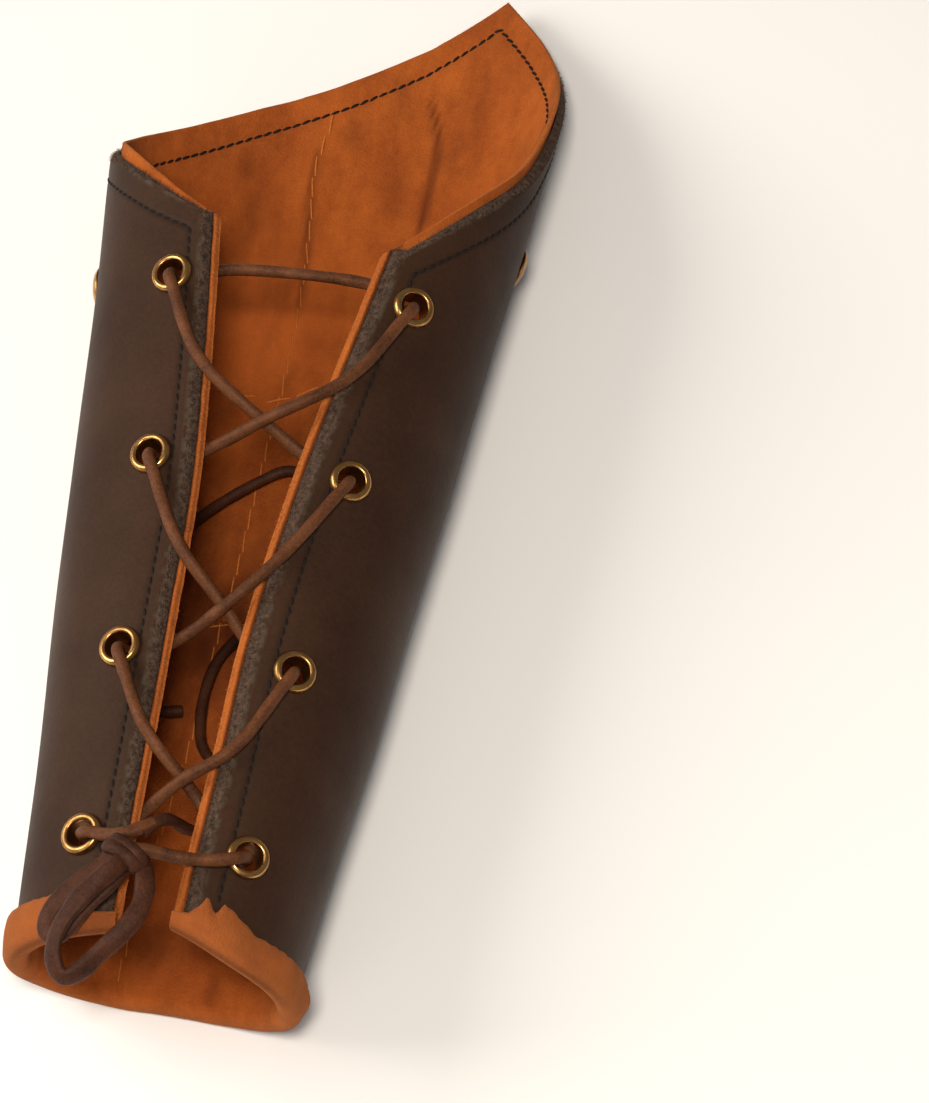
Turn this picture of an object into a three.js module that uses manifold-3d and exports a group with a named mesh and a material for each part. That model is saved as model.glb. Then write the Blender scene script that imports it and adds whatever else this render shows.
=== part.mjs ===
// Laced leather bracer lying on a surface, laced side up.
// Millimetres. X runs across, Y from the wrist towards the elbow point, Z up.
import * as THREE from 'three';
import { mergeVertices } from 'three/addons/utils/BufferGeometryUtils.js';
import Module from 'manifold-3d';

const wasm = await Module();
wasm.setup();

// Wall section: a rounded oval that widens from the wrist (along = 0) to the elbow, pressed flat underneath
const WRIST_HALF_WIDTH = 33.5;
const HALF_WIDTH_GROWTH = 0.097;
const WRIST_HEIGHT = 56.7;
const HEIGHT_GROWTH = 0.05;
const SECTION_POWER = 2.3;
const PRESSED_FLAT = 0.8;
const WRIST_RAISED = 2.4;
const RAISED_UP_TO = 160;

// Wall layers
const SHELL_THICKNESS = 2.2;
const LINING_THICKNESS = 1.3;
const PIECE_GAP = 0.3;
const LINING_FACE = SHELL_THICKNESS + PIECE_GAP;
const LINING_BACK = LINING_FACE + LINING_THICKNESS;

// Edges of the lining along the laced slit, measured across from the top centre line
const SLIT_EDGE = [
  { along: -20, left: -5.4, right: 6.6 },
  { along: 0, left: -5.9, right: 7.0 },
  { along: 40, left: -6.9, right: 8.5 },
  { along: 70, left: -7.6, right: 9.3 },
  { along: 110, left: -9.2, right: 13.4 },
  { along: 135, left: -11.8, right: 17.2 },
  { along: 180, left: -17.8, right: 24.8 },
  { along: 300, left: -33.6, right: 45.0 },
];
const LINING_PROUD = { left: 2.2, right: 2.2 };
const SHELL_BEVEL = { left: 1.8, right: 2.6 };

// Elbow edge: distance round the wall from the bottom centre line (right is positive), and height along Y
const ELBOW_EDGE_LEFT = [
  { around: -140, along: 167 },
  { around: -122, along: 178 },
  { around: -105, along: 187 },
  { around: -85, along: 203 },
  { around: -54, along: 227.5 },
  { around: -27, along: 246.5 },
  { around: -6, along: 258.5 },
  { around: 12, along: 271 },
  { around: 34.5, along: 288.5 },
];
const ELBOW_EDGE_RIGHT = [
  { around: 34.5, along: 288.5 },
  { around: 42, along: 280.5 },
  { around: 52, along: 269 },
  { around: 66, along: 249 },
  { around: 82, along: 212 },
  { around: 92, along: 195.5 },
  { around: 112, along: 171 },
  { around: 130, along: 152 },
];
const POINT = ELBOW_EDGE_RIGHT[0];

// How far the lining and the shell's two faces reach past the elbow edge, measured square to it
const ELBOW_REACH = [
  { around: -140, lining: 0.3, back: -0.6, face: -1.2 },
  { around: -119, lining: 0.5, back: -0.4, face: -1.1 },
  { around: -109, lining: 2.4, back: 0.6, face: 0 },
  { around: -103, lining: 3.3, back: 1.2, face: 0.6 },
  { around: -96, lining: 3.8, back: 1.2, face: 0.2 },
  { around: -85, lining: 3.6, back: 0.8, face: -1 },
  { around: -72, lining: 2.3, back: 0.4, face: -1.2 },
  { around: -54, lining: 1.6, back: 0.4, face: -0.6 },
  { around: -22, lining: 1.1, back: 0.3, face: -0.3 },
  { around: 12, lining: 0.4, back: 0, face: -0.3 },
  { around: 34.5, lining: 0, back: -0.2, face: -0.4 },
  { around: 55, lining: 0, back: -0.9, face: -2 },
  { around: 67, lining: -0.4, back: -1.6, face: -3.4 },
  { around: 74, lining: 0.3, back: -1, face: -2.8 },
  { around: 80, lining: 1.4, back: -0.1, face: -1.5 },
  { around: 87.5, lining: 3.2, back: 1.3, face: -0.5 },
  { around: 93, lining: 4, back: 1.9, face: -0.4 },
  { around: 99, lining: 4, back: 1.7, face: -0.4 },
  { around: 109, lining: 3.1, back: 0.9, face: -1.6 },
  { around: 130, lining: 2.8, back: 0.8, face: -2 },
];

// Wrist edge of the shell, cut back under the wrist and at the laced corners
const WRIST_EDGE = [
  { around: -96, along: -2.5 },
  { around: -70, along: -5.5 },
  { around: -55, along: -5.3 },
  { around: -32, along: -1 },
  { around: -10, along: 0.5 },
  { around: 12, along: -0.3 },
  { around: 28, along: -3 },
  { around: 42, along: -5.5 },
  { around: 75, along: -5.5 },
  { around: 94, along: 0 },
];

// Rolled cuff: the lining turned outward round the wrist edge, its upper edge measured from the slit
const ROLL_BELOW_EDGE = 0.5;
const ROLL_STEPS = 5;
const CUFF_CLEARANCE = 0.95;
const CUFF_BULGE = 0.4;
const CUFF_TOP_LEFT = [
  { fromSlit: 0, top: -2 },
  { fromSlit: 3.5, top: -2.4 },
  { fromSlit: 6.4, top: -2.6 },
  { fromSlit: 9.5, top: -1 },
  { fromSlit: 14.4, top: 2 },
  { fromSlit: 19.5, top: 1.1 },
  { fromSlit: 43.8, top: 0.6 },
  { fromSlit: 94.8, top: 7.5 },
];
const CUFF_TOP_RIGHT = [
  { fromSlit: 0, top: -0.2 },
  { fromSlit: 3.2, top: -0.1 },
  { fromSlit: 6.5, top: 4.4 },
  { fromSlit: 9, top: 1.2 },
  { fromSlit: 11, top: 3.6 },
  { fromSlit: 18.5, top: -1.2 },
  { fromSlit: 45, top: -1.6 },
  { fromSlit: 94, top: 7.5 },
];

// Bead of the lining along the slit: distance in from the edge, and depth of its two faces
const BEAD = [
  { inset: 0, face: 2.2, back: 3.3 },
  { inset: 0.4, face: 1.4, back: LINING_BACK },
  { inset: 1.1, face: 1.2, back: LINING_BACK },
  { inset: 1.7, face: 1.5, back: LINING_BACK },
];
const BEAD_STARTS_ABOVE_ROLL = 5;

// Eyelets, in pairs from the elbow to the wrist, measured across from the top centre line
const EYELET_ROWS = [
  { along: 163.5, left: -25.9, right: 33.0 },
  { along: 114.5, left: -21.4, right: 26.5 },
  { along: 64, left: -18.5, right: 22.5 },
  { along: 17, left: -18.0, right: 20.2 },
];
const EYELET_HOLE = 3.3;
const EYELET_BARREL = 3.7;
const EYELET_FLANGE = 5.3;
const EYELET_DOME = 1.6;
const INNER_FLANGE = 4.7;
const INNER_FLANGE_SPACE = 0.6;
const INNER_FLANGE_DEPTH = 0.9;
const HOLE_CLEARANCE = 0.3;
const EYELET_SIDES = 12;

// Rivets: distance round the wall from the bottom centre line, and height along Y
const RIVETS = [
  { name: 'rivet_point', around: 31, along: 259 },
  { name: 'rivet_right', around: 57, along: 200.5 },
  { name: 'rivet_left_inner', around: -30, along: 213 },
  { name: 'rivet_left_outer', around: -66, along: 175 },
];
const RIVET_CAP = 5.2;
const RIVET_DOME = 1.8;
const RIVET_POST = 1.9;
const RIVET_SIDES = 12;

// Lace and its crossings: where each leg leaves the flap's edge, crosses and goes under the other flap
const LACE_RADIUS = 1.5;
const LOOP_RADIUS = 2;
const LACE_SIDES = 8;
const LACE_ON_FLAP = 2.4;
const LACE_OVER = 0.8;
const LACE_UNDER = -3.7;
const LACE_BELOW_FLAP = -5.9;
const LEGS_FROM_LEFT = [
  { from: 'left_1', to: 'right_2', edge: [-14.3, 139.5], cross: [5, 126], under: [14.7, 121], over: false },
  { from: 'right_2', to: 'left_3', edge: [15.5, 92], cross: [4.5, 77], under: [-6.2, 69], over: true },
  { from: 'left_3', to: 'right_4', edge: [-8.2, 43], cross: [3.2, 33], under: [8.5, 28.5], over: false },
];
const LEGS_FROM_RIGHT = [
  { from: 'right_1', to: 'left_2', edge: [22, 139.5], cross: [5, 126], under: [-8.5, 119.5], over: true },
  { from: 'left_2', to: 'right_3', edge: [-9, 89.5], cross: [4.5, 77], under: [10, 71], over: false },
  { from: 'right_3', to: 'left_4', edge: [12, 39.5], cross: [3.2, 33], under: [-5, 27], over: true },
];
// The bar between the top eyelets bows towards the elbow: how far at its middle, and where its ends head
const BAR_LIFT = -6.5;
const BAR_BOW = 5.5;
const BAR_HEADS = { left: 17, right: 42 };
const HELD_LACE_STEPS = 2;
const LOOP_STEPS = 2;
const TAIL_STEPS = 1;

// Bow at the wrist and surplus lace inside, as routes through X, Y, Z
const KNOT = { centre: [-5.3, 13, 65], radii: [6, 4.6, 3.9] };
const KNOT_STRAND_LEFT = [[-13.8, 15.8, 61.9], [-11.6, 14.4, 63.6]];
const KNOT_STRAND_RIGHT = [[15.5, 13.4, 61.4], [8.7, 11.8, 62.3], [1.2, 12.2, 64]];
const LOOP_BACK = [
  [-9.6, 7.8, 64], [-13.3, 4.2, 63.4], [-17.8, -0.2, 62.2], [-20.8, -5, 60.8], [-20.6, -9.2, 60.4],
  [-17.6, -10.2, 61], [-14.4, -5.4, 62.3], [-11.2, -0.6, 63.4], [-7.8, 3.4, 64], [-5.9, 7.3, 63.8],
];
const LOOP_FRONT = [
  [-5.2, 7.4, 67.9], [-9.1, 2.2, 68.3], [-13.8, -4.2, 67.5], [-16.9, -10.6, 65.6], [-17, -16.4, 63.6],
  [-14.2, -20.4, 61.9], [-10.5, -18, 62.2], [-6.8, -13.3, 63.3], [-2.7, -8.5, 64.4], [0.4, -1.5, 64.8],
  [0.2, 4, 65], [-0.9, 8, 65.2],
];
const TAIL = [
  [-1.2, 18.2, 65.2], [0.8, 20.8, 63], [2.6, 22.6, 58.5], [4.2, 23.6, 52.5], [8, 25.6, 47.5],
  [15, 30, 48.2], [23.6, 34, 45.6], [28.6, 38, 39.5], [30.2, 42, 30.8], [29, 46, 21.6], [24.6, 50, 15.6],
  [15, 54.5, 9.9], [4, 58, 8.4], [-4, 63, 8.2], [-6.8, 72, 8], [-6, 87, 7.8], [0, 98, 7.6],
  [6.5, 112, 7.4], [9.5, 128, 7.2], [8, 139.5, 7], [2.5, 143, 6.9], [-7, 137, 7.1], [-18.7, 124, 8.8],
  [-25, 108, 12], [-25.6, 88, 12.9], [-22, 76, 11.8], [-17, 71.5, 9.8], [-11.6, 73, 8.6],
];

const LEATHER = new THREE.MeshStandardMaterial({ color: 0x4a342a, roughness: 0.55, metalness: 0 });
const SUEDE = new THREE.MeshStandardMaterial({ color: 0xa35c22, roughness: 0.95, metalness: 0 });
const BRASS = new THREE.MeshStandardMaterial({ color: 0xb58a3c, roughness: 0.3, metalness: 1 });
const LACE_LEATHER = new THREE.MeshStandardMaterial({ color: 0x5a3a2c, roughness: 0.7, metalness: 0 });

// A smooth curve through a table's rows, as a function of one of its columns
function curveThrough(rows, from, to) {
  const positions = Float64Array.from(rows, (row) => row[from]);
  const values = Float64Array.from(rows, (row) => row[to]);
  const curve = new THREE.CubicInterpolant(positions, values, 1, new Float64Array(1));
  return (position) => curve.evaluate(position)[0];
}

// Half of the outer section at one place along the bracer, from the bottom centre up the right side
const SECTION_STEPS = 240;
const sections = new Map();
function halfSection(along) {
  const key = along.toFixed(4);
  if (sections.has(key)) {
    return sections.get(key);
  }
  const halfWidth = WRIST_HALF_WIDTH + HALF_WIDTH_GROWTH * along;
  const halfHeight = (WRIST_HEIGHT + HEIGHT_GROWTH * along + PRESSED_FLAT) / 2;
  const raised = WRIST_RAISED * Math.max(0, 1 - along / RAISED_UP_TO);
  const section = { x: [], z: [], arc: [] };
  for (let step = 0; step <= SECTION_STEPS; step += 1) {
    const angle = (Math.PI * step) / SECTION_STEPS;
    const height = Math.cos(angle);
    const x = halfWidth * Math.sin(angle) ** (2 / SECTION_POWER);
    const drop = Math.sign(height) * Math.abs(height) ** (2 / SECTION_POWER);
    const z = Math.max(halfHeight * (1 - drop) - PRESSED_FLAT, 0) + raised;
    const last = step - 1;
    const arc = step === 0 ? 0 : section.arc[last] + Math.hypot(x - section.x[last], z - section.z[last]);
    section.x.push(x);
    section.z.push(z);
    section.arc.push(arc);
  }
  sections.set(key, section);
  return section;
}

function outerPoint(around, along) {
  const section = halfSection(along);
  const distance = Math.abs(around);
  let step = section.arc.findIndex((arc) => arc > distance);
  step = step < 1 ? SECTION_STEPS : step;
  const share = (distance - section.arc[step - 1]) / (section.arc[step] - section.arc[step - 1]);
  const x = THREE.MathUtils.lerp(section.x[step - 1], section.x[step], share);
  const z = THREE.MathUtils.lerp(section.z[step - 1], section.z[step], share);
  return new THREE.Vector3(Math.sign(around) * x, along, z);
}

const NORMAL_STEP = 0.5;
function outwardNormal(around, along) {
  const across = outerPoint(around + NORMAL_STEP, along).sub(outerPoint(around - NORMAL_STEP, along));
  const lengthways = outerPoint(around, along + NORMAL_STEP).sub(outerPoint(around, along - NORMAL_STEP));
  return lengthways.cross(across).normalize();
}

// A point in the wall: depth is counted inward from the outer face
function wallPoint(around, along, depth) {
  return outerPoint(around, along).addScaledVector(outwardNormal(around, along), -depth);
}

// Distance round the wall of a place on the laced side, given across from the top centre line
function aroundAt(across, along) {
  const section = halfSection(along);
  let step = SECTION_STEPS;
  while (section.x[step] < Math.abs(across)) {
    step -= 1;
  }
  const share = (Math.abs(across) - section.x[step + 1]) / (section.x[step] - section.x[step + 1]);
  const arc = THREE.MathUtils.lerp(section.arc[step + 1], section.arc[step], share);
  return Math.sign(across) * arc;
}

const slitAcross = {
  left: curveThrough(SLIT_EDGE, 'along', 'left'),
  right: curveThrough(SLIT_EDGE, 'along', 'right'),
};
const elbowLeft = curveThrough(ELBOW_EDGE_LEFT, 'around', 'along');
const elbowRight = curveThrough(ELBOW_EDGE_RIGHT, 'around', 'along');
const elbowReach = {
  lining: curveThrough(ELBOW_REACH, 'around', 'lining'),
  back: curveThrough(ELBOW_REACH, 'around', 'back'),
  face: curveThrough(ELBOW_REACH, 'around', 'face'),
};
const wristEdge = curveThrough(WRIST_EDGE, 'around', 'along');
const cuffTopLeft = curveThrough(CUFF_TOP_LEFT, 'fromSlit', 'top');
const cuffTopRight = curveThrough(CUFF_TOP_RIGHT, 'fromSlit', 'top');

function slitAround(side, along, inset) {
  const inward = side === 'left' ? inset : -inset;
  return aroundAt(slitAcross[side](along), along) + inward;
}

function elbowEdge(around) {
  return around < POINT.around ? elbowLeft(around) : elbowRight(around);
}

// A column of the wall runs from the wrist to the elbow edge: column(along) is its distance round the wall
function shareColumn(share, insets) {
  return (along) => {
    const left = slitAround('left', along, insets.left);
    const right = slitAround('right', along, insets.right);
    return THREE.MathUtils.lerp(left, right, share);
  };
}

const EDGE_SEARCH_STEPS = 40;
const LOWEST_EDGE = 140;
const HIGHEST_EDGE = 300;
const SLOPE_STEP = 0.5;
function columnTop(column, reach) {
  let low = LOWEST_EDGE;
  let high = HIGHEST_EDGE;
  for (let step = 0; step < EDGE_SEARCH_STEPS; step += 1) {
    const middle = (low + high) / 2;
    if (elbowEdge(column(middle)) > middle) {
      low = middle;
    } else {
      high = middle;
    }
  }
  const around = column(low);
  const slope = elbowEdge(around + SLOPE_STEP) - elbowEdge(around - SLOPE_STEP);
  return low + elbowReach[reach](around) * Math.hypot(1, slope / (2 * SLOPE_STEP));
}

const COLUMNS_LEFT_OF_POINT = 17;
const COLUMNS_RIGHT_OF_POINT = 9;
const SHELL_ROWS = 9;
function columnShares() {
  const left = slitAround('left', POINT.along, LINING_PROUD.left);
  const right = slitAround('right', POINT.along, LINING_PROUD.right);
  const pointShare = (POINT.around - left) / (right - left);
  const shares = [];
  for (let column = 0; column < COLUMNS_LEFT_OF_POINT; column += 1) {
    shares.push((pointShare * column) / COLUMNS_LEFT_OF_POINT);
  }
  for (let column = 0; column <= COLUMNS_RIGHT_OF_POINT; column += 1) {
    shares.push(pointShare + ((1 - pointShare) * column) / COLUMNS_RIGHT_OF_POINT);
  }
  return shares;
}

// A closed body between two grids of points with the same rows and columns
function closedSheet(outside, inside) {
  const rows = outside.length;
  const columns = outside[0].length;
  const points = [...outside.flat(), ...inside.flat()];
  const backStart = rows * columns;
  const triangles = [];
  const quad = (a, b, c, d) => triangles.push(a, b, c, a, c, d);
  for (let row = 0; row < rows - 1; row += 1) {
    for (let column = 0; column < columns - 1; column += 1) {
      const corner = row * columns + column;
      quad(corner, corner + columns, corner + columns + 1, corner + 1);
      const back = backStart + corner;
      quad(back, back + 1, back + columns + 1, back + columns);
    }
  }
  for (let row = 0; row < rows - 1; row += 1) {
    const first = row * columns;
    const last = first + columns - 1;
    quad(first, backStart + first, backStart + first + columns, first + columns);
    quad(last, last + columns, backStart + last + columns, backStart + last);
  }
  for (let column = 0; column < columns - 1; column += 1) {
    const bottom = column;
    const top = (rows - 1) * columns + column;
    quad(bottom, bottom + 1, backStart + bottom + 1, backStart + bottom);
    quad(top, backStart + top, backStart + top + 1, top + 1);
  }
  return new THREE.BufferGeometry().setFromPoints(points).setIndex(triangles);
}

function toSolid(geometry) {
  const bare = geometry.clone();
  bare.deleteAttribute('normal');
  bare.deleteAttribute('uv');
  const merged = mergeVertices(bare);
  const mesh = new wasm.Mesh({
    numProp: 3,
    vertProperties: Float32Array.from(merged.attributes.position.array),
    triVerts: Uint32Array.from(merged.index.array),
  });
  return new wasm.Manifold(mesh);
}

function toGeometry(solid) {
  const mesh = solid.getMesh();
  const geometry = new THREE.BufferGeometry();
  geometry.setAttribute('position', new THREE.BufferAttribute(mesh.vertProperties, 3));
  geometry.setIndex(new THREE.BufferAttribute(mesh.triVerts, 1));
  geometry.computeVertexNormals();
  return geometry;
}

// Turns a shape made along Y so that Y becomes the wall's outward normal at a place
function setOnWall(object, around, along) {
  object.position.copy(outerPoint(around, along));
  object.quaternion.setFromUnitVectors(new THREE.Vector3(0, 1, 0), outwardNormal(around, along));
  object.updateMatrix();
}

const CUT_LENGTH = 16;
function holeCutter(around, along, radius, sides) {
  const cutter = new THREE.Mesh(new THREE.CylinderGeometry(radius, radius, CUT_LENGTH, sides));
  setOnWall(cutter, around, along);
  return toSolid(cutter.geometry.applyMatrix4(cutter.matrix));
}

const eyelets = EYELET_ROWS.flatMap((row, index) => ['left', 'right'].map((side) => ({
  name: `${side}_${index + 1}`,
  across: row[side],
  along: row.along,
  around: aroundAt(row[side], row.along),
})));

function cutEyeletHoles(solid) {
  return eyelets.reduce((rest, eyelet) => {
    const cutter = holeCutter(eyelet.around, eyelet.along, EYELET_BARREL + HOLE_CLEARANCE, EYELET_SIDES);
    return rest.subtract(cutter);
  }, solid);
}

function shellGeometry() {
  const shares = columnShares();
  const faceInsets = {
    left: LINING_PROUD.left + SHELL_BEVEL.left,
    right: LINING_PROUD.right + SHELL_BEVEL.right,
  };
  const grid = (insets, depth, reach) => {
    const columns = shares.map((share) => shareColumn(share, insets));
    const tops = columns.map((column) => columnTop(column, reach));
    const ends = columns.map((column) => wristEdge(column(0)));
    return Array.from({ length: SHELL_ROWS + 1 }, (_, row) => columns.map((column, index) => {
      const along = THREE.MathUtils.lerp(ends[index], tops[index], row / SHELL_ROWS);
      return wallPoint(column(along), along, depth);
    }));
  };
  const face = grid(faceInsets, 0, 'face');
  const back = grid(LINING_PROUD, SHELL_THICKNESS, 'back');
  const wall = toSolid(closedSheet(face, back));
  const riveted = RIVETS.reduce((rest, rivet) => {
    const cutter = holeCutter(rivet.around, rivet.along, RIVET_POST + HOLE_CLEARANCE, EYELET_SIDES);
    return rest.subtract(cutter);
  }, cutEyeletHoles(wall));
  return toGeometry(riveted);
}

// Columns of the lining: the bead along each slit edge, a few close columns where the cuff is cut
// slanting, and the shell's own columns between them
const CUFF_CORNER_INSETS = [4.5, 6.5];
function liningColumns() {
  const edgeColumns = (side) => {
    const bead = BEAD.map((row) => ({ ...row, at: (along) => slitAround(side, along, row.inset) }));
    const corner = CUFF_CORNER_INSETS.map((inset) => ({ at: (along) => slitAround(side, along, inset) }));
    return { bead, corner };
  };
  const left = edgeColumns('left');
  const right = edgeColumns('right');
  const shares = columnShares();
  const middle = shares.slice(1, -1).map((share) => ({ at: shareColumn(share, LINING_PROUD) }));
  const shellEdge = (share) => ({ at: shareColumn(share, LINING_PROUD) });
  return [
    ...left.bead, shellEdge(0), ...left.corner, ...middle,
    ...right.corner.reverse(), shellEdge(1), ...right.bead.reverse(),
  ];
}

// The lining's course in one column, from the elbow edge down the inside, round the roll, up the outside.
// Each row holds the place along Y and the depth of the suede's middle, and which way its face looks.
const LINING_ROWS = 8;
const CUFF_ROWS = 3;
function liningCourse(top, rollCentre, cuffTop) {
  const middleDepth = (LINING_FACE + LINING_BACK) / 2;
  const cuffDepth = -CUFF_CLEARANCE - LINING_THICKNESS / 2;
  const rollRadius = (middleDepth - cuffDepth) / 2;
  const course = [];
  for (let row = 0; row <= LINING_ROWS; row += 1) {
    const along = THREE.MathUtils.lerp(top, rollCentre, row / LINING_ROWS);
    course.push({ along, depth: middleDepth, faceAlong: 0, faceDepth: 1 });
  }
  for (let step = 1; step <= ROLL_STEPS; step += 1) {
    const angle = (Math.PI * step) / ROLL_STEPS;
    course.push({
      along: rollCentre - rollRadius * Math.sin(angle),
      depth: middleDepth - rollRadius * (1 - Math.cos(angle)),
      faceAlong: -Math.sin(angle),
      faceDepth: Math.cos(angle),
    });
  }
  for (let row = 1; row <= CUFF_ROWS; row += 1) {
    const share = row / CUFF_ROWS;
    const along = THREE.MathUtils.lerp(rollCentre, cuffTop, share);
    const bulge = CUFF_BULGE * Math.sin(Math.PI * share);
    course.push({ along, depth: cuffDepth - bulge, faceAlong: 0, faceDepth: -1 });
  }
  return course;
}

function cuffTopOf(column) {
  const around = column(0);
  return around < 0
    ? cuffTopLeft(around - slitAround('left', 0, 0))
    : cuffTopRight(slitAround('right', 0, 0) - around);
}

function liningGeometry() {
  const columns = liningColumns();
  const rollCentres = columns.map((column) => wristEdge(column.at(0)) - ROLL_BELOW_EDGE);
  const courses = columns.map(
    ({ at }, index) => liningCourse(columnTop(at, 'lining'), rollCentres[index], cuffTopOf(at)),
  );
  const onSurface = (point) => point.setZ(Math.max(point.z, 0));
  const grid = (side) => courses[0].map((_, row) => columns.map((column, index) => {
    const place = courses[index][row];
    const aboveRoll = place.along > rollCentres[index] + BEAD_STARTS_ABOVE_ROLL;
    const inBead = column.inset !== undefined && place.faceDepth === 1 && aboveRoll;
    if (inBead) {
      return wallPoint(column.at(place.along), place.along, side > 0 ? column.back : column.face);
    }
    const along = place.along + (side * place.faceAlong * LINING_THICKNESS) / 2;
    const depth = place.depth + (side * place.faceDepth * LINING_THICKNESS) / 2;
    return onSurface(wallPoint(column.at(along), along, depth));
  }));
  return toGeometry(cutEyeletHoles(toSolid(closedSheet(grid(1), grid(-1)))));
}

function eyeletGeometry() {
  const innerFace = -LINING_BACK - INNER_FLANGE_SPACE;
  const innerEnd = innerFace - INNER_FLANGE_DEPTH;
  const profile = [
    [EYELET_HOLE, EYELET_DOME - 0.7],
    [EYELET_HOLE + 0.8, EYELET_DOME],
    [EYELET_FLANGE - 0.4, EYELET_DOME - 0.5],
    [EYELET_FLANGE, PIECE_GAP],
    [EYELET_BARREL, PIECE_GAP],
    [EYELET_BARREL, innerFace],
    [INNER_FLANGE, innerFace],
    [INNER_FLANGE - 0.4, innerEnd],
    [EYELET_HOLE, innerEnd + 0.2],
  ].map(([radius, height]) => new THREE.Vector2(radius, height));
  profile.push(profile[0].clone());
  return new THREE.LatheGeometry(profile.reverse(), EYELET_SIDES);
}

function rivetGeometry() {
  const profile = [
    [0, -SHELL_THICKNESS],
    [RIVET_POST, -SHELL_THICKNESS],
    [RIVET_POST, PIECE_GAP],
    [RIVET_CAP, PIECE_GAP],
    [RIVET_CAP * 0.9, RIVET_DOME * 0.55],
    [RIVET_CAP * 0.55, RIVET_DOME * 0.9],
    [0, RIVET_DOME],
  ].map(([radius, height]) => new THREE.Vector2(radius, height));
  return new THREE.LatheGeometry(profile, RIVET_SIDES);
}

// A route whose steps are spread evenly between its points, so that tight bends get short steps
class Route extends THREE.CatmullRomCurve3 {
  getUtoTmapping(share) {
    return share;
  }
}

function tube(points, stepsPerPoint, radius) {
  const section = new THREE.Shape();
  section.absarc(0, 0, radius, 0, 2 * Math.PI);
  return new THREE.ExtrudeGeometry(section, {
    extrudePath: new Route(points),
    steps: (points.length - 1) * stepsPerPoint,
    curveSegments: LACE_SIDES / 2,
    bevelEnabled: false,
  });
}

function freeLace(route, stepsPerPoint, radius) {
  return tube(route.map((point) => new THREE.Vector3(...point)), stepsPerPoint, radius);
}

// A point of the lace above (or, below zero, under) the outer face of the laced side
function lacePoint([across, along], lift) {
  return wallPoint(aroundAt(across, along), along, -lift);
}

const LACE_OUT_OF_EYELET = [
  { away: 0, lift: -1.5 },
  { away: 0.9, lift: 1.8 },
  { away: 3.2, lift: 3.7 },
  { away: 7, lift: 3.4 },
];
const LACE_INTO_EYELET = [
  { away: 7, lift: -6.4 },
  { away: 3, lift: -7.3 },
  { away: 0.8, lift: -5.2 },
];

function besideEyelet(name, towards, rows) {
  const eyelet = eyelets.find((entry) => entry.name === name);
  const start = new THREE.Vector2(eyelet.across, eyelet.along);
  const direction = new THREE.Vector2(...towards).sub(start).normalize();
  return rows.map((row) => {
    const place = start.clone().addScaledVector(direction, row.away);
    return lacePoint(place.toArray(), row.lift);
  });
}

function legPoints(leg) {
  return [
    ...besideEyelet(leg.from, leg.edge, LACE_OUT_OF_EYELET),
    lacePoint(leg.edge, LACE_ON_FLAP),
    lacePoint(leg.cross, leg.over ? LACE_OVER : LACE_UNDER),
    lacePoint(leg.under, LACE_BELOW_FLAP),
    ...besideEyelet(leg.to, leg.under, LACE_INTO_EYELET),
  ];
}

function knotEnd(name, strand) {
  const points = strand.map((point) => new THREE.Vector3(...point));
  return [...besideEyelet(name, [points[0].x, points[0].y], LACE_OUT_OF_EYELET.slice(0, -1)), ...points];
}

function laceGeometry() {
  const [topRow] = EYELET_ROWS;
  const barLeft = besideEyelet('left_1', [0, topRow.along + BAR_HEADS.left], LACE_INTO_EYELET);
  const barRight = besideEyelet('right_1', [0, topRow.along + BAR_HEADS.right], LACE_INTO_EYELET);
  const barMiddle = lacePoint([(topRow.left + topRow.right) / 2, topRow.along + BAR_BOW], BAR_LIFT);
  const endRight = knotEnd('right_4', KNOT_STRAND_RIGHT);
  const endLeft = knotEnd('left_4', KNOT_STRAND_LEFT);
  const fromLeft = [...barLeft, ...LEGS_FROM_LEFT.flatMap(legPoints), ...endRight];
  const fromRight = [...barRight, ...LEGS_FROM_RIGHT.flatMap(legPoints), ...endLeft];
  return tube([...fromLeft.reverse(), barMiddle, ...fromRight], HELD_LACE_STEPS, LACE_RADIUS);
}

function knotGeometry() {
  return new THREE.SphereGeometry(1, 12, 8).scale(...KNOT.radii).translate(...KNOT.centre);
}

function addPiece(group, name, geometry, material) {
  const mesh = new THREE.Mesh(geometry, material);
  mesh.name = name;
  group.add(mesh);
  return mesh;
}

const body = new THREE.Group();
addPiece(body, 'shell', shellGeometry(), LEATHER);
addPiece(body, 'lining', liningGeometry(), SUEDE);
for (const eyelet of eyelets) {
  setOnWall(addPiece(body, `eyelet_${eyelet.name}`, eyeletGeometry(), BRASS), eyelet.around, eyelet.along);
}
for (const rivet of RIVETS) {
  setOnWall(addPiece(body, rivet.name, rivetGeometry(), BRASS), rivet.around, rivet.along);
}

const lacing = new THREE.Group();
addPiece(lacing, 'lace', laceGeometry(), LACE_LEATHER);
addPiece(lacing, 'lace_knot', knotGeometry(), LACE_LEATHER);
addPiece(lacing, 'lace_loop_back', freeLace(LOOP_BACK, LOOP_STEPS, LOOP_RADIUS), LACE_LEATHER);
addPiece(lacing, 'lace_loop_front', freeLace(LOOP_FRONT, LOOP_STEPS, LOOP_RADIUS), LACE_LEATHER);
addPiece(lacing, 'lace_tail', freeLace(TAIL, TAIL_STEPS, LACE_RADIUS), LACE_LEATHER);

// The origin is the middle of the body's box, on the surface that it lies on
const box = new THREE.Box3().setFromObject(body, true);
const centre = box.getCenter(new THREE.Vector3());
const bracer = new THREE.Group();
bracer.add(body, lacing);
bracer.position.set(-centre.x, -centre.y, -box.min.z);

export default bracer;
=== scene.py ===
"""Leather bracer lying laced side up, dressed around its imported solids.

Sizes are in millimetres from the wrist's centre line, as in the part's source. to_row() turns them into
metres in the row's frame. A place in the wall is given as around (the distance round the wall from the
bottom centre line, right positive), along (from the wrist to the elbow point) and depth (inward from the
outer face).
"""

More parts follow.
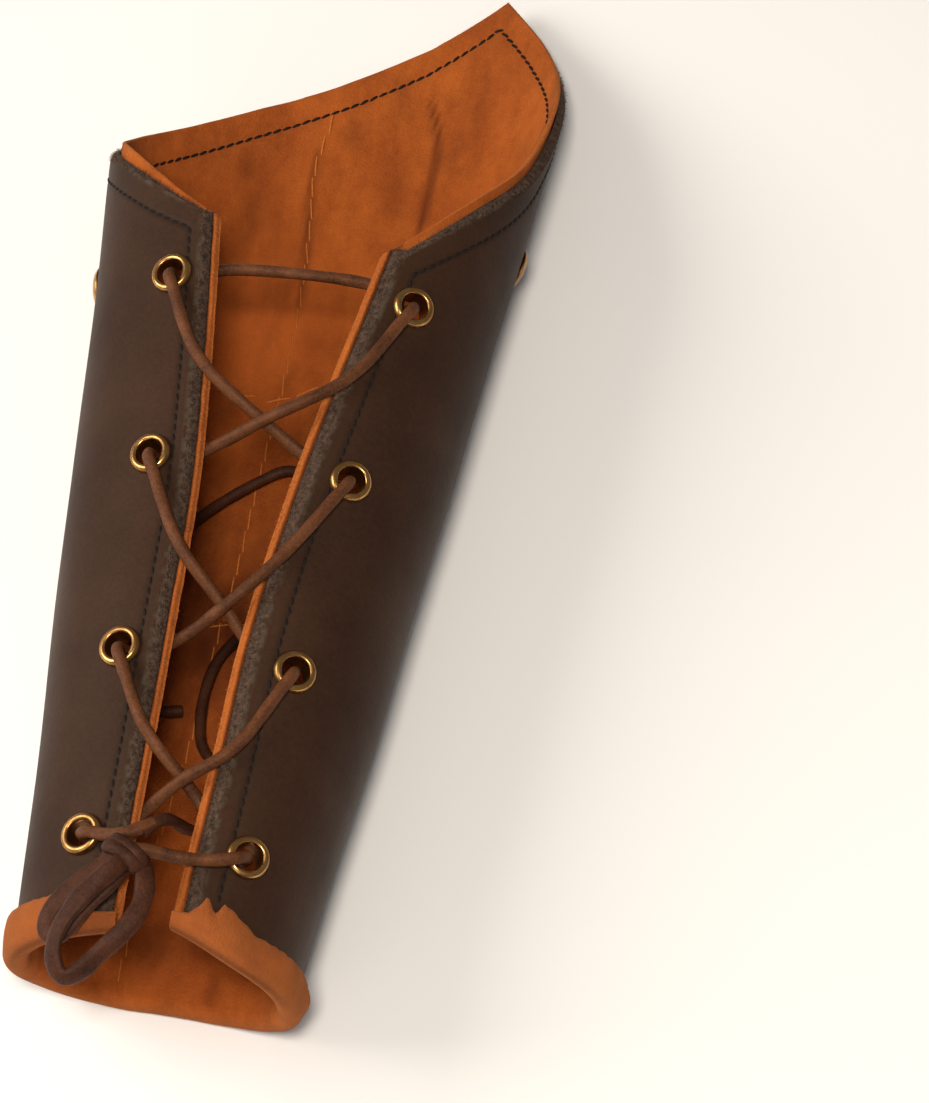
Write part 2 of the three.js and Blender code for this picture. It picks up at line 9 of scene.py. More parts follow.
import logging
import math
from dataclasses import dataclass
from enum import Enum
from typing import Callable, NamedTuple, Sequence

import bpy
import numpy as np
from mathutils import Matrix


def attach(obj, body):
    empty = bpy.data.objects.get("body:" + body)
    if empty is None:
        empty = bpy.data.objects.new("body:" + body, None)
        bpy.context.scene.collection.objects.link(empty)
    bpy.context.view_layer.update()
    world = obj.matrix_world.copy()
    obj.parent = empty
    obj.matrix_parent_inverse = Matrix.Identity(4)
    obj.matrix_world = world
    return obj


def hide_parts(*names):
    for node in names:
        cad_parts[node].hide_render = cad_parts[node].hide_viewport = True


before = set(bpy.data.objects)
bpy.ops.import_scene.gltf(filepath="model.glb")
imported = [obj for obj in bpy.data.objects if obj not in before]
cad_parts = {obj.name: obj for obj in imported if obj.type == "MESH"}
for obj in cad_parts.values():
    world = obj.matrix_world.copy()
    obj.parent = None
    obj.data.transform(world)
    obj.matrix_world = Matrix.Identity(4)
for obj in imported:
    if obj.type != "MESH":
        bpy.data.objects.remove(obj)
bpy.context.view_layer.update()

LOG = logging.getLogger("bracer")
BODY = "root"
METRE = 1000.0
ORIGIN = np.array((1.0037, 139.3547, 0.0))

# Rounds of halving when a place is searched for
HALVINGS = 40
# Keeps a reading inside a table's last cell
LAST_CELL = 1.001
# Faces that meet at a larger angle keep a sharp edge
SHARP_ANGLE = math.radians(55)

Triple = tuple[float, float, float]
Colour = Triple
Spots = Sequence[tuple[float, float]]
Array = np.ndarray
Piece = bpy.types.Object
Socket = bpy.types.NodeSocket
Material = bpy.types.Material


class Slot(Enum):
    """The bracer's material slots."""

    SHELL = "shell_leather"
    LINING = "lining_suede"
    BRASS = "brass"
    LACE = "lace_leather"


class Side(Enum):
    """The two flaps beside the laced slit."""

    LEFT = "left"
    RIGHT = "right"


class Facing(Enum):
    """Which way a row of stitches looks."""

    OUTSIDE = 1.0
    INSIDE = -1.0


class FarEnd(Enum):
    """Where a free stretch of lace ends: tied back to the bracer, or cut."""

    OBJECT = "object"
    BARE = "bare"


def to_row(points: Sequence) -> Array:
    """Turns millimetres from the wrist into metres in the row's frame.

    Args:
        points: places with X, Y and Z in the last axis.

    Returns:
        The same places in the row's frame.
    """
    return (np.asarray(points, float) - ORIGIN) / METRE


def unit(vectors: Array) -> Array:
    """Scales vectors in the last axis to length one."""
    return vectors / np.maximum(np.linalg.norm(vectors, axis=-1, keepdims=True), 1e-12)


def ripple(points: Array, size: float, seed: int) -> Array:
    """A smooth random field, made of plane waves that run in all directions.

    Args:
        points: places in the last axis, of any dimension.
        size: usual distance between two crests.
        seed: picks the waves.

    Returns:
        One value for each place, mostly between -1 and 1.
    """
    draw = np.random.default_rng(seed)
    total = np.zeros(points.shape[:-1])
    waves = 14
    for _ in range(waves):
        direction = unit(draw.normal(size=points.shape[-1]))
        pace = 2 * math.pi / (size * draw.uniform(0.7, 1.6))
        total += np.sin(points @ direction * pace + draw.uniform(0, 2 * math.pi))
    return total / math.sqrt(waves)


def last_true(low: Array, high: Array, holds: Callable[[Array], Array]) -> Array:
    """Searches for the places where a test stops holding, by halving.

    Args:
        low: values where the test holds.
        high: values where it no longer does.
        holds: the test.

    Returns:
        The last values where it holds.
    """
    for _ in range(HALVINGS):
        middle = (low + high) / 2
        held = holds(middle)
        low = np.where(held, middle, low)
        high = np.where(held, high, middle)
    return low


@dataclass(frozen=True)
class Curve:
    """A smooth curve through a few points, level beyond its ends.

    Attributes:
        at: positions in rising order.
        value: the curve's value at each position.
    """

    at: tuple[float, ...]
    value: tuple[float, ...]

    def __call__(self, where: Array) -> Array:
        """Reads the curve.

        Args:
            where: positions.

        Returns:
            The curve's value at each of them.
        """
        at = np.asarray(self.at)
        value = np.asarray(self.value)
        secant = np.diff(value) / np.diff(at)
        slope = np.concatenate([secant[:1], (secant[1:] + secant[:-1]) / 2, secant[-1:]])
        where = np.clip(where, at[0], at[-1])
        index = np.clip(np.searchsorted(at, where, side="right") - 1, 0, len(at) - 2)
        step = at[index + 1] - at[index]
        share = (where - at[index]) / step
        square = share * share
        cube = square * share
        rise = (3 * square - 2 * cube) * (value[index + 1] - value[index])
        leave = (cube - 2 * square + share) * slope[index] * step
        arrive = (cube - square) * slope[index + 1] * step
        return value[index] + rise + leave + arrive


def table(kind: type, *rows: tuple[float, ...]) -> tuple:
    """Makes named rows of a kind."""
    return tuple(kind(*row) for row in rows)


class FlapRow(NamedTuple):
    """Places on the two flaps, measured across from the top centre line."""

    along: float
    left: float
    right: float


# The lining's two edges at the slit
SLIT_EDGE = table(
    FlapRow,
    (-20, -5.4, 6.6), (0, -5.9, 7.0), (40, -6.9, 8.5), (70, -7.6, 9.3), (110, -9.2, 13.4),
    (135, -11.8, 17.2), (180, -17.8, 24.8), (300, -33.6, 45.0),
)


class EdgePoint(NamedTuple):
    """A point of the unrolled wall."""

    around: float
    along: float


ELBOW_EDGE_LEFT = table(
    EdgePoint,
    (-140, 167), (-122, 178), (-105, 187), (-85, 203), (-54, 227.5), (-27, 246.5), (-6, 258.5),
    (12, 271), (34.5, 288.5),
)
ELBOW_EDGE_RIGHT = table(
    EdgePoint,
    (34.5, 288.5), (42, 280.5), (52, 269), (66, 249), (82, 212), (92, 195.5), (112, 171), (130, 152),
)
POINT = ELBOW_EDGE_RIGHT[0]


class Layer(Enum):
    """The faces that end at the elbow edge."""

    LINING = "lining"
    BACK = "back"
    FACE = "face"


class ReachRow(NamedTuple):
    """How far the lining and the shell's two faces reach past the elbow edge, measured square to it."""

    around: float
    lining: float
    back: float
    face: float


ELBOW_REACH = table(
    ReachRow,
    (-140, 0.3, -0.6, -1.2), (-119, 0.5, -0.4, -1.1), (-109, 2.4, 0.6, 0), (-103, 3.3, 1.2, 0.6),
    (-96, 3.8, 1.2, 0.2), (-85, 3.6, 0.8, -1), (-72, 2.3, 0.4, -1.2), (-54, 1.6, 0.4, -0.6),
    (-22, 1.1, 0.3, -0.3), (12, 0.4, 0, -0.3), (34.5, 0, -0.2, -0.4), (55, 0, -0.9, -2),
    (67, -0.4, -1.6, -3.4), (74, 0.3, -1, -2.8), (80, 1.4, -0.1, -1.5), (87.5, 3.2, 1.3, -0.5),
    (93, 4, 1.9, -0.4), (99, 4, 1.7, -0.4), (109, 3.1, 0.9, -1.6), (130, 2.8, 0.8, -2),
)

# The shell's wrist edge, cut back under the wrist and at the laced corners
WRIST_EDGE = table(
    EdgePoint,
    (-96, -2.5), (-70, -5.5), (-55, -5.3), (-32, -1), (-10, 0.5), (12, -0.3), (28, -3), (42, -5.5),
    (75, -5.5), (94, 0),
)

EYELET_ROWS = table(
    FlapRow,
    (163.5, -25.9, 33.0), (114.5, -21.4, 26.5), (64, -18.5, 22.5), (17, -18.0, 20.2),
)


@dataclass
class Wall:
    """The wall's outer face: a rounded oval that widens from the wrist and is pressed flat underneath."""

    wrist_half_width: float = 33.5
    half_width_growth: float = 0.097
    wrist_height: float = 56.7
    height_growth: float = 0.05
    section_power: float = 2.3
    section_points: int = 1441
    pressed_flat: float = 0.8
    wrist_raised: float = 2.4
    raised_up_to: float = 160.0
    lowest: float = -40.0
    highest: float = 320.0
    row_step: float = 2.0
    arc_step: float = 0.4
    longest_arc: float = 150.0
    edge_step: float = 0.5
    dent: float = 0.28
    dent_size: float = 70.0
    dent_seed: int = 3

    def __post_init__(self) -> None:
        """Works out the section at rows along the bracer, and the edges of the wall."""
        self.rows = np.arange(self.lowest, self.highest + self.row_step, self.row_step)
        arcs = np.arange(0, self.longest_arc, self.arc_step)
        sections = [self._section(along, arcs) for along in self.rows]
        self.x_table = np.array([section[0] for section in sections])
        self.z_table = np.array([section[1] for section in sections])
        self.widest_arc = np.array([section[2] for section in sections])
        self.end_arc = np.array([section[3] for section in sections])
        self.slit_at = np.arange(self.lowest, self.highest, self.edge_step)
        slit_rows = tuple(row.along for row in SLIT_EDGE)
        self.slit_table = {}
        for side in Side:
            across = Curve(slit_rows, tuple(getattr(row, side.value) for row in SLIT_EDGE))
            self.slit_table[side] = self.around_at(across(self.slit_at), self.slit_at)
        self.elbow_left = Curve(*zip(*ELBOW_EDGE_LEFT))
        self.elbow_right = Curve(*zip(*ELBOW_EDGE_RIGHT))
        self.wrist = Curve(*zip(*WRIST_EDGE))
        reach_rows = tuple(row.around for row in ELBOW_REACH)
        self.reach = {}
        for layer in Layer:
            self.reach[layer] = Curve(reach_rows, tuple(getattr(row, layer.value) for row in ELBOW_REACH))

    def _section(self, along: float, arcs: Array) -> tuple[Array, Array, float, float]:
        """Works out the right half of one section.

        Args:
            along: the section's place.
            arcs: distances from the bottom centre at which it is wanted.

        Returns:
            X and Z at those distances, and the distances to the widest point and to the top centre.
        """
        angle = np.linspace(0, math.pi, self.section_points)
        half_width = self.wrist_half_width + self.half_width_growth * along
        half_height = (self.wrist_height + self.height_growth * along + self.pressed_flat) / 2
        raised = self.wrist_raised * max(0.0, 1 - along / self.raised_up_to)
        x = half_width * np.abs(np.sin(angle)) ** (2 / self.section_power)
        drop = np.sign(np.cos(angle)) * np.abs(np.cos(angle)) ** (2 / self.section_power)
        z = np.maximum(half_height * (1 - drop) - self.pressed_flat, 0) + raised
        arc = np.concatenate([[0], np.cumsum(np.hypot(np.diff(x), np.diff(z)))])
        return np.interp(arcs, arc, x), np.interp(arcs, arc, z), arc[len(arc) // 2], arc[-1]

    def _read(self, table: Array, around: Array, along: Array) -> Array:
        """Reads a table of the section between its grid points.

        Args:
            table: X or Z, by rows along and distances round the wall.
            around: distances round the wall.
            along: places along.

        Returns:
            One value for each place.
        """
        row = np.clip((along - self.lowest) / self.row_step, 0, table.shape[0] - LAST_CELL)
        column = np.clip(np.abs(around) / self.arc_step, 0, table.shape[1] - LAST_CELL)
        r = row.astype(int)
        c = column.astype(int)
        u = row - r
        v = column - c
        near = table[r, c] * (1 - v) + table[r, c + 1] * v
        far = table[r + 1, c] * (1 - v) + table[r + 1, c + 1] * v
        return near * (1 - u) + far * u

    def outer(self, around: Array, along: Array) -> Array:
        """Finds places on the even outer face.

        Args:
            around: distances round the wall.
            along: places along.

        Returns:
            Their X, Y and Z.
        """
        around, along = np.broadcast_arrays(np.asarray(around, float), np.asarray(along, float))
        x = np.sign(around) * self._read(self.x_table, around, along)
        z = self._read(self.z_table, around, along)
        return np.stack([x, along, z], axis=-1)

    def normal(self, around: Array, along: Array) -> Array:
        """Finds the outward direction of the outer face.

        Args:
            around: distances round the wall.
            along: places along.

        Returns:
            One direction for each place.
        """
        step = 1.0
        around = np.asarray(around, float)
        along = np.asarray(along, float)
        across = self.outer(around + step, along) - self.outer(around - step, along)
        lengthways = self.outer(around, along + step) - self.outer(around, along - step)
        return unit(np.cross(lengthways, across))

    def point(self, around: Array, along: Array, depth: Array) -> Array:
        """Finds places in the wall, with the leather's slight unevenness.

        Args:
            around: distances round the wall.
            along: places along.
            depth: depths inward from the outer face.

        Returns:
            Their X, Y and Z.
        """
        around, along = np.broadcast_arrays(np.asarray(around, float), np.asarray(along, float))
        uneven = self.dent * ripple(np.stack([around, along], axis=-1), self.dent_size, self.dent_seed)
        inward = np.asarray(depth, float) - uneven
        return self.outer(around, along) - self.normal(around, along) * inward[..., None]

    def around_at(self, across: Array, along: Array) -> Array:
        """Finds the distance round the wall of places on the laced side.

        Args:
            across: distances from the top centre line, right positive.
            along: places along.

        Returns:
            One distance for each place.
        """
        across, along = np.broadcast_arrays(np.asarray(across, float), np.asarray(along, float))
        widest = np.interp(along, self.rows, self.widest_arc)
        top = np.interp(along, self.rows, self.end_arc)
        arc = last_true(widest, top, lambda middle: self._read(self.x_table, middle, along) > np.abs(across))
        return np.sign(across) * arc

    def slit(self, side: Side, along: Array, inset: Array) -> Array:
        """Follows a line beside the slit."""
        edge = np.interp(along, self.slit_at, self.slit_table[side])
        return edge + inset if side is Side.LEFT else edge - inset

    def elbow(self, around: Array) -> Array:
        """Gives the place along of the elbow edge."""
        around = np.asarray(around, float)
        return np.where(around < POINT.around, self.elbow_left(around), self.elbow_right(around))

    def from_elbow_edge(self, around: Array, along: Array) -> Array:
        """Measures how far places of the unrolled wall are from the elbow edge.

        Args:
            around: distances round the wall.
            along: places along.

        Returns:
            One distance for each place.
        """
        at = np.arange(ELBOW_EDGE_LEFT[0].around, ELBOW_EDGE_RIGHT[-1].around, self.edge_step)
        at = np.unique(np.append(at, POINT.around))
        edge = np.stack([at, self.elbow(at)], axis=-1)
        best = np.full(np.shape(around), np.inf)
        for start, end in zip(edge[:-1], edge[1:]):
            step = end - start
            share = ((around - start[0]) * step[0] + (along - start[1]) * step[1]) / (step @ step)
            share = np.clip(share, 0, 1)
            gap = np.hypot(around - start[0] - share * step[0], along - start[1] - share * step[1])
            best = np.minimum(best, gap)
        return best


@dataclass
class Columns:
    """Lines that run up the wall, from the left flap round the bottom to the right flap.

    Attributes:
        wall: the wall that they run on.
        left_inset: inset from the left edge of the lining.
        right_inset: inset from the right edge of the lining.
        share: where the line runs between those two, from 0 at the left to 1 at the right.
    """

    wall: Wall
    left_inset: Array
    right_inset: Array
    share: Array
    lowest_end: float = 140.0
    highest_end: float = 300.0

    @classmethod
    def spread(cls, wall: Wall, left: Array, right: Array, spacing: float) -> "Columns":
        """Lays fine columns at given insets beside the slit and even ones between, one through the point.

        Args:
            wall: the wall.
            left: insets beside the left edge, rising.
            right: insets beside the right edge, rising.
            spacing: distance between the even columns.

        Returns:
            The columns from left to right.
        """
        start = wall.slit(Side.LEFT, POINT.along, left[-1])
        end = wall.slit(Side.RIGHT, POINT.along, right[-1])
        before = round((POINT.around - start) / spacing)
        after = round((end - POINT.around) / spacing)
        tip = (POINT.around - start) / (end - start)
        middle = np.concatenate([np.linspace(0, tip, before + 1)[1:], np.linspace(tip, 1, after + 1)[1:-1]])
        share = np.concatenate([np.zeros(len(left)), middle, np.ones(len(right))])
        left_inset = np.concatenate([left, np.full(len(middle) + len(right), left[-1])])
        right_inset = np.concatenate([np.full(len(left) + len(middle), right[-1]), right[::-1]])
        return cls(wall, left_inset, right_inset, share)

    def around(self, along: Array) -> Array:
        """Finds each column's distance round the wall.

        Args:
            along: places along; the last axis is the column.

        Returns:
            One distance for each place.
        """
        left = self.wall.slit(Side.LEFT, along, self.left_inset)
        right = self.wall.slit(Side.RIGHT, along, self.right_inset)
        return left * (1 - self.share) + right * self.share

    def tops(self, layer: Layer | None = None) -> Array:
        """Finds where each column meets the elbow edge.

        Args:
            layer: the face whose own end is wanted, a little past or short of the edge.

        Returns:
            The place along of each column's end.
        """
        ends = last_true(
            np.full(len(self.share), self.lowest_end),
            np.full(len(self.share), self.highest_end),
            lambda along: self.wall.elbow(self.around(along)) > along,
        )
        if layer is None:
            return ends
        around = self.around(ends)
        half = 0.5
        slope = (self.wall.elbow(around + half) - self.wall.elbow(around - half)) / (2 * half)
        return ends + self.wall.reach[layer](around) * np.hypot(1, slope)


def punch(around: Array, along: Array, holes: Spots, radius: float) -> Array:
    """Opens round holes in a grid: finds the cells inside and draws their corners onto the circles.

    Args:
        around: the grid's distances round the wall, changed in place.
        along: the grid's places along, changed in place.
        holes: centres of the holes.
        radius: radius of the holes.

    Returns:
        True for each cell that is cut out.
    """
    removed = np.zeros((around.shape[0] - 1, around.shape[1] - 1), bool)
    for centre_around, centre_along in holes:
        u = around - centre_around
        v = along - centre_along
        middle_u = (u[:-1, :-1] + u[1:, :-1] + u[:-1, 1:] + u[1:, 1:]) / 4
        middle_v = (v[:-1, :-1] + v[1:, :-1] + v[:-1, 1:] + v[1:, 1:]) / 4
        cut = np.hypot(middle_u, middle_v) < radius
        count = np.zeros(around.shape, int)
        count[:-1, :-1] += cut
        count[1:, :-1] += cut
        count[:-1, 1:] += cut
        count[1:, 1:] += cut
        rim = (count > 0) & (count < 4)
        reach = np.hypot(u[rim], v[rim])
        around[rim] = centre_around + u[rim] * radius / reach
        along[rim] = centre_along + v[rim] * radius / reach
        removed |= cut
    return removed


@dataclass
class Sheet:
    """A closed body between a front and a back grid, with a rounded rim and holes.

    Attributes:
        front: places of the front face, rows by columns.
        back: places of the back face, on the same rows and columns.
        removed: cells that are cut out of both.
        rings: how many rings of points round the rim.
        bulge: how far the rim stands out in its middle.
    """

    front: Array
    back: Array
    removed: Array
    rings: int = 3
    bulge: float = 0.5

    def border(self) -> Array:
        """Walks round the grid's border.

        Returns:
            The grid indices in order, as rows of (row, column).
        """
        rows, columns = self.front.shape[:2]
        grid = np.stack(np.indices((rows, columns)), axis=-1)
        return np.concatenate([grid[0], grid[1:, -1], grid[-1, -2::-1], grid[-2:0:-1, 0]])

    def points(self) -> Array:
        """Lists the points.

        Returns:
            The front's points, the back's, then the rings of the rim.
        """
        border = self.border()
        rows, columns = self.front.shape[:2]
        inner = np.stack([np.clip(border[:, 0], 1, rows - 2), np.clip(border[:, 1], 1, columns - 2)], axis=-1)
        front = self.front[border[:, 0], border[:, 1]]
        back = self.back[border[:, 0], border[:, 1]]
        neighbours = self.front[inner[:, 0], inner[:, 1]] + self.back[inner[:, 0], inner[:, 1]]
        outward = unit((front + back - neighbours) / 2)
        rings = []
        for ring in range(1, self.rings + 1):
            share = ring / (self.rings + 1)
            rings.append(front + (back - front) * share + outward * self.bulge * math.sin(math.pi * share))
        return np.concatenate([self.front.reshape(-1, 3), self.back.reshape(-1, 3), *rings])

    def faces(self) -> Array:
        """Lists the faces.

        Returns:
            The corner numbers of quads that point outward where the front looks out of the body.
        """
        rows, columns = self.front.shape[:2]
        grid = np.arange(rows * columns).reshape(rows, columns)
        behind = grid + rows * columns
        kept = ~self.removed
        corners = (grid[:-1, :-1], grid[1:, :-1], grid[1:, 1:], grid[:-1, 1:])
        front = np.stack([corner[kept] for corner in corners], axis=-1)
        back = (front + rows * columns)[:, ::-1]
        quads = [front, back, *self._hole_walls(grid, behind), *self._rim(grid, behind)]
        return np.concatenate(quads)

    def _hole_walls(self, grid: Array, behind: Array) -> list[Array]:
        """Joins the front to the back round each hole.

        Args:
            grid: the front's point numbers.
            behind: the back's point numbers.

        Returns:
            The quads of each side of the holes' cells.
        """
        padded = np.pad(self.removed, 1)
        quads = []
        for beyond, (r0, c0), (r1, c1) in (
            (padded[:-2, 1:-1], (0, 1), (0, 0)),
            (padded[2:, 1:-1], (1, 0), (1, 1)),
            (padded[1:-1, :-2], (0, 0), (1, 0)),
            (padded[1:-1, 2:], (1, 1), (0, 1)),
        ):
            r, c = np.nonzero(self.removed & ~beyond)
            start = (r + r0, c + c0)
            end = (r + r1, c + c1)
            quads.append(np.stack([grid[start], grid[end], behind[end], behind[start]], axis=-1))
        return quads

    def _rim(self, grid: Array, behind: Array) -> list[Array]:
        """Joins the front's border to the back's through the rings.

        Args:
            grid: the front's point numbers.
            behind: the back's point numbers.

        Returns:
            The quads between each ring and the next.
        """
        border = self.border()
        first = 2 * grid.size
        loops = [grid[border[:, 0], border[:, 1]]]
        loops += [first + ring * len(border) + np.arange(len(border)) for ring in range(self.rings)]
        loops.append(behind[border[:, 0], border[:, 1]])
        quads = []
        for near, far in zip(loops[:-1], loops[1:]):
            quads.append(np.stack([near, np.roll(near, -1), np.roll(far, -1), far], axis=-1))
        return quads


def linked(name: str, data: bpy.types.ID) -> Piece:
    """Puts a mesh, a light or a camera into the scene.

    Args:
        name: the object's name.
        data: what it shows.

    Returns:
        The new object.
    """
    piece = bpy.data.objects.new(name, data)
    bpy.context.scene.collection.objects.link(piece)
    return piece


def with_normals(name: str, points: Array, edges: Sequence, normals: Array) -> Piece:
    """Makes loose points, or a path, that carry the surface's normal.

    Args:
        name: the object's name.
        points: places from the wrist.
        edges: pairs of point numbers.
        normals: the surface's direction at each point.

    Returns:
        The new object.
    """
    mesh = bpy.data.meshes.new(name)
    mesh.from_pydata(to_row(points).tolist(), edges, [])
    up = mesh.attributes.new("up", "FLOAT_VECTOR", "POINT")
    up.data.foreach_set("vector", normals.astype(np.float32).ravel())
    return linked(name, mesh)


def make_object(name: str, points: Array, faces: Sequence, marks: dict[str, Array]) -> Piece:
    """Makes a smooth mesh object at the origin from places in millimetres.

    Args:
        name: the object's name.
        points: places from the wrist.
        faces: corner numbers of each face.
        marks: named values at each point, for the finishes.

    Returns:
        The new object.
    """
    mesh = bpy.data.meshes.new(name)
    mesh.from_pydata(to_row(points).tolist(), [], [[int(corner) for corner in face] for face in faces])
    for mark, values in marks.items():
        attribute = mesh.attributes.new(mark, "FLOAT", "POINT")
        attribute.data.foreach_set("value", np.asarray(values, np.float32))
    mesh.shade_smooth()
    mesh.set_sharp_from_angle(angle=SHARP_ANGLE)
    mesh.update()
    return linked(name, mesh)


def finish_piece(piece: Piece, nodes: Sequence[str], finish: Material | None = None) -> Piece:
    """Lets a piece ride on the part and the solids that it stands for.

    Args:
        piece: the finished piece.
        nodes: solids that it replaces.
        finish: its material, where it has none yet.

    Returns:
        The same piece.
    """
    if finish is not None:
        piece.data.materials.append(finish)
    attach(piece, BODY)
    if nodes:
        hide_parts(*nodes)
    return piece


class Joining(Enum):
    """Ways to join two values in a finish."""

    PLUS = "ADD"
    TIMES = "MULTIPLY"
    LARGER = "MAXIMUM"


class NodeTree:
    """A tree of nodes."""

    def __init__(self, tree: bpy.types.NodeTree) -> None:
        """Takes the tree."""
        self.tree = tree

    def put(self, socket: Socket, value: object) -> None:
        """Links a value to an input, or sets it there.

        Args:
            socket: the input.
            value: another node's output, a number or a colour.
        """
        if isinstance(value, Socket):
            self.tree.links.new(value, socket)
        elif isinstance(value, tuple) and len(value) == 3 and socket.type == "RGBA":
            socket.default_value = (*value, 1.0)
        else:
            socket.default_value = value

    def node(self, kind: str, links: dict, **settings: object) -> bpy.types.Node:
        """Adds a node.

        Args:
            kind: the node's type.
            links: values or sockets for its inputs, by name or number.
            settings: its properties.

        Returns:
            The node.
        """
        node = self.tree.nodes.new(kind)
        for name, value in settings.items():
            setattr(node, name, value)
        for name, value in links.items():
            self.put(node.inputs[name], value)
        return node


class Graph(NodeTree):
    """A material's nodes, with short calls for those that the finishes share."""

    noise_roughness: float = 0.6

    def __init__(self, name: str) -> None:
        """Starts a material with one shader.

        Args:
            name: the material's name.
        """
        self.material = bpy.data.materials.new(name)
        self.material.use_nodes = True
        super().__init__(self.material.node_tree)
        self.tree.nodes.clear()
        self.shader = self.node("ShaderNodeBsdfPrincipled", {})
        self.node("ShaderNodeOutputMaterial", {"Surface": self.shader.outputs["BSDF"]})
        self.place = self.node("ShaderNodeTexCoord", {}).outputs["Object"]

    def shade(self, **inputs: object) -> None:
        """Gives the shader's inputs, with spaces in their names written as underscores."""
        for name, value in inputs.items():
            self.put(self.shader.inputs[name.replace("_", " ")], value)

    def scaled(self, stretch: Triple) -> Socket:
        """Gives the piece's coordinates stretched along its axes."""
        return self.node("ShaderNodeMapping", {"Vector": self.place, "Scale": stretch}).outputs["Vector"]

    def noise(self, scale: float, detail: float, place: object = None) -> Socket:
        """Gives soft noise with that many waves a metre, in finer and finer layers."""
        links = {"Vector": place or self.place, "Scale": scale, "Detail": detail}
        return self.node("ShaderNodeTexNoise", {**links, "Roughness": self.noise_roughness}).outputs["Fac"]

    def cells(self, scale: float) -> Socket:
        """Gives the distance from the nearest point of a random scatter, as in leather grain."""
        return self.node("ShaderNodeTexVoronoi", {"Vector": self.place, "Scale": scale}).outputs["Distance"]

    def mark(self, name: str) -> Socket:
        """Gives a named value of the piece's points."""
        return self.node("ShaderNodeAttribute", {}, attribute_name=name).outputs["Fac"]

    def span(self, value: object, low: float, high: float, start: float = 0.0, end: float = 1.0) -> Socket:
        """Stretches a value from low..high to start..end, and keeps it there."""
        ends = {"From Min": low, "From Max": high, "To Min": start, "To Max": end}
        return self.node("ShaderNodeMapRange", {**ends, "Value": value}).outputs["Result"]

    def join(self, way: Joining, first: object, second: object) -> Socket:
        """Joins two values."""
        return self.node("ShaderNodeMath", {0: first, 1: second}, operation=way.value).outputs["Value"]

    def plus(self, first: object, second: object) -> Socket:
        """Adds two values."""
        return self.join(Joining.PLUS, first, second)

    def times(self, first: object, second: object) -> Socket:
        """Multiplies two values."""
        return self.join(Joining.TIMES, first, second)

    def larger(self, first: object, second: object) -> Socket:
        """Gives the larger of two values."""
        return self.join(Joining.LARGER, first, second)

    def mix(self, share: object, first: object, second: object) -> Socket:
        """Mixes two colours by the second one's share."""
        links = {"Factor": share, 6: first, 7: second}
        return self.node("ShaderNodeMix", links, data_type="RGBA").outputs[2]

    def bump(self, height: object, strength: float, depth: float, below: object = None) -> Socket:
        """Raises the surface by a height.

        Args:
            height: the height, from 0 to 1.
            strength: how strongly it shows.
            depth: the height of 1 in metres.
            below: a normal that it adds to.

        Returns:
            The new normal.
        """
        links = {"Height": height, "Strength": strength, "Distance": depth}
        if below is not None:
            links["Normal"] = below
        return self.node("ShaderNodeBump", links).outputs["Normal"]


@dataclass(frozen=True)
class ShellLeather:
    """Smooth dark brown leather with worn corners and grey, fibrous cut edges."""

    deep: Colour = (0.024, 0.0105, 0.0054)
    light: Colour = (0.049, 0.0218, 0.0112)
    worn: Colour = (0.066, 0.05, 0.034)
    cut: Colour = (0.03, 0.019, 0.014)
    fibre: Colour = (0.14, 0.085, 0.058)
    sewn: Colour = (0.012, 0.009, 0.007)
    worn_reach: float = 1.1
    specular: float = 0.12

    def material(self) -> Material:
        """Builds the finish.

        Returns:
            The material.
        """
        graph = Graph("shell_leather")
        cloud = graph.span(graph.noise(28, 5), 0.3, 0.7)
        speck = graph.span(graph.noise(900, 2), 0.35, 0.65)
        tone = graph.plus(graph.times(cloud, 0.75), graph.times(speck, 0.25))
        colour = graph.mix(tone, self.deep, self.light)
        corner = graph.span(graph.mark("edge"), 0.0, self.worn_reach, 1.0, 0.0)
        rubbed = graph.times(corner, graph.span(graph.noise(420, 4), 0.42, 0.6))
        colour = graph.mix(rubbed, colour, self.worn)
        raw = graph.mark("raw")
        fibres = graph.span(graph.noise(800, 5), 0.38, 0.72)
        colour = graph.mix(raw, colour, graph.mix(fibres, self.cut, self.fibre))
        colour = graph.mix(graph.times(graph.mark("groove"), 0.6), colour, self.sewn)
        rough = graph.plus(graph.span(cloud, 0, 1, 0.6, 0.48), graph.times(raw, 0.38))
        grain = graph.bump(graph.cells(1300), 0.16, 0.0002)
        pores = graph.bump(graph.noise(3200, 2), 0.18, 0.0001, grain)
        fuzz = graph.bump(graph.times(fibres, raw), 0.6, 0.0005, pores)
        graph.shade(Base_Color=colour, Roughness=rough, Normal=fuzz, Specular_IOR_Level=self.specular)
        return graph.material


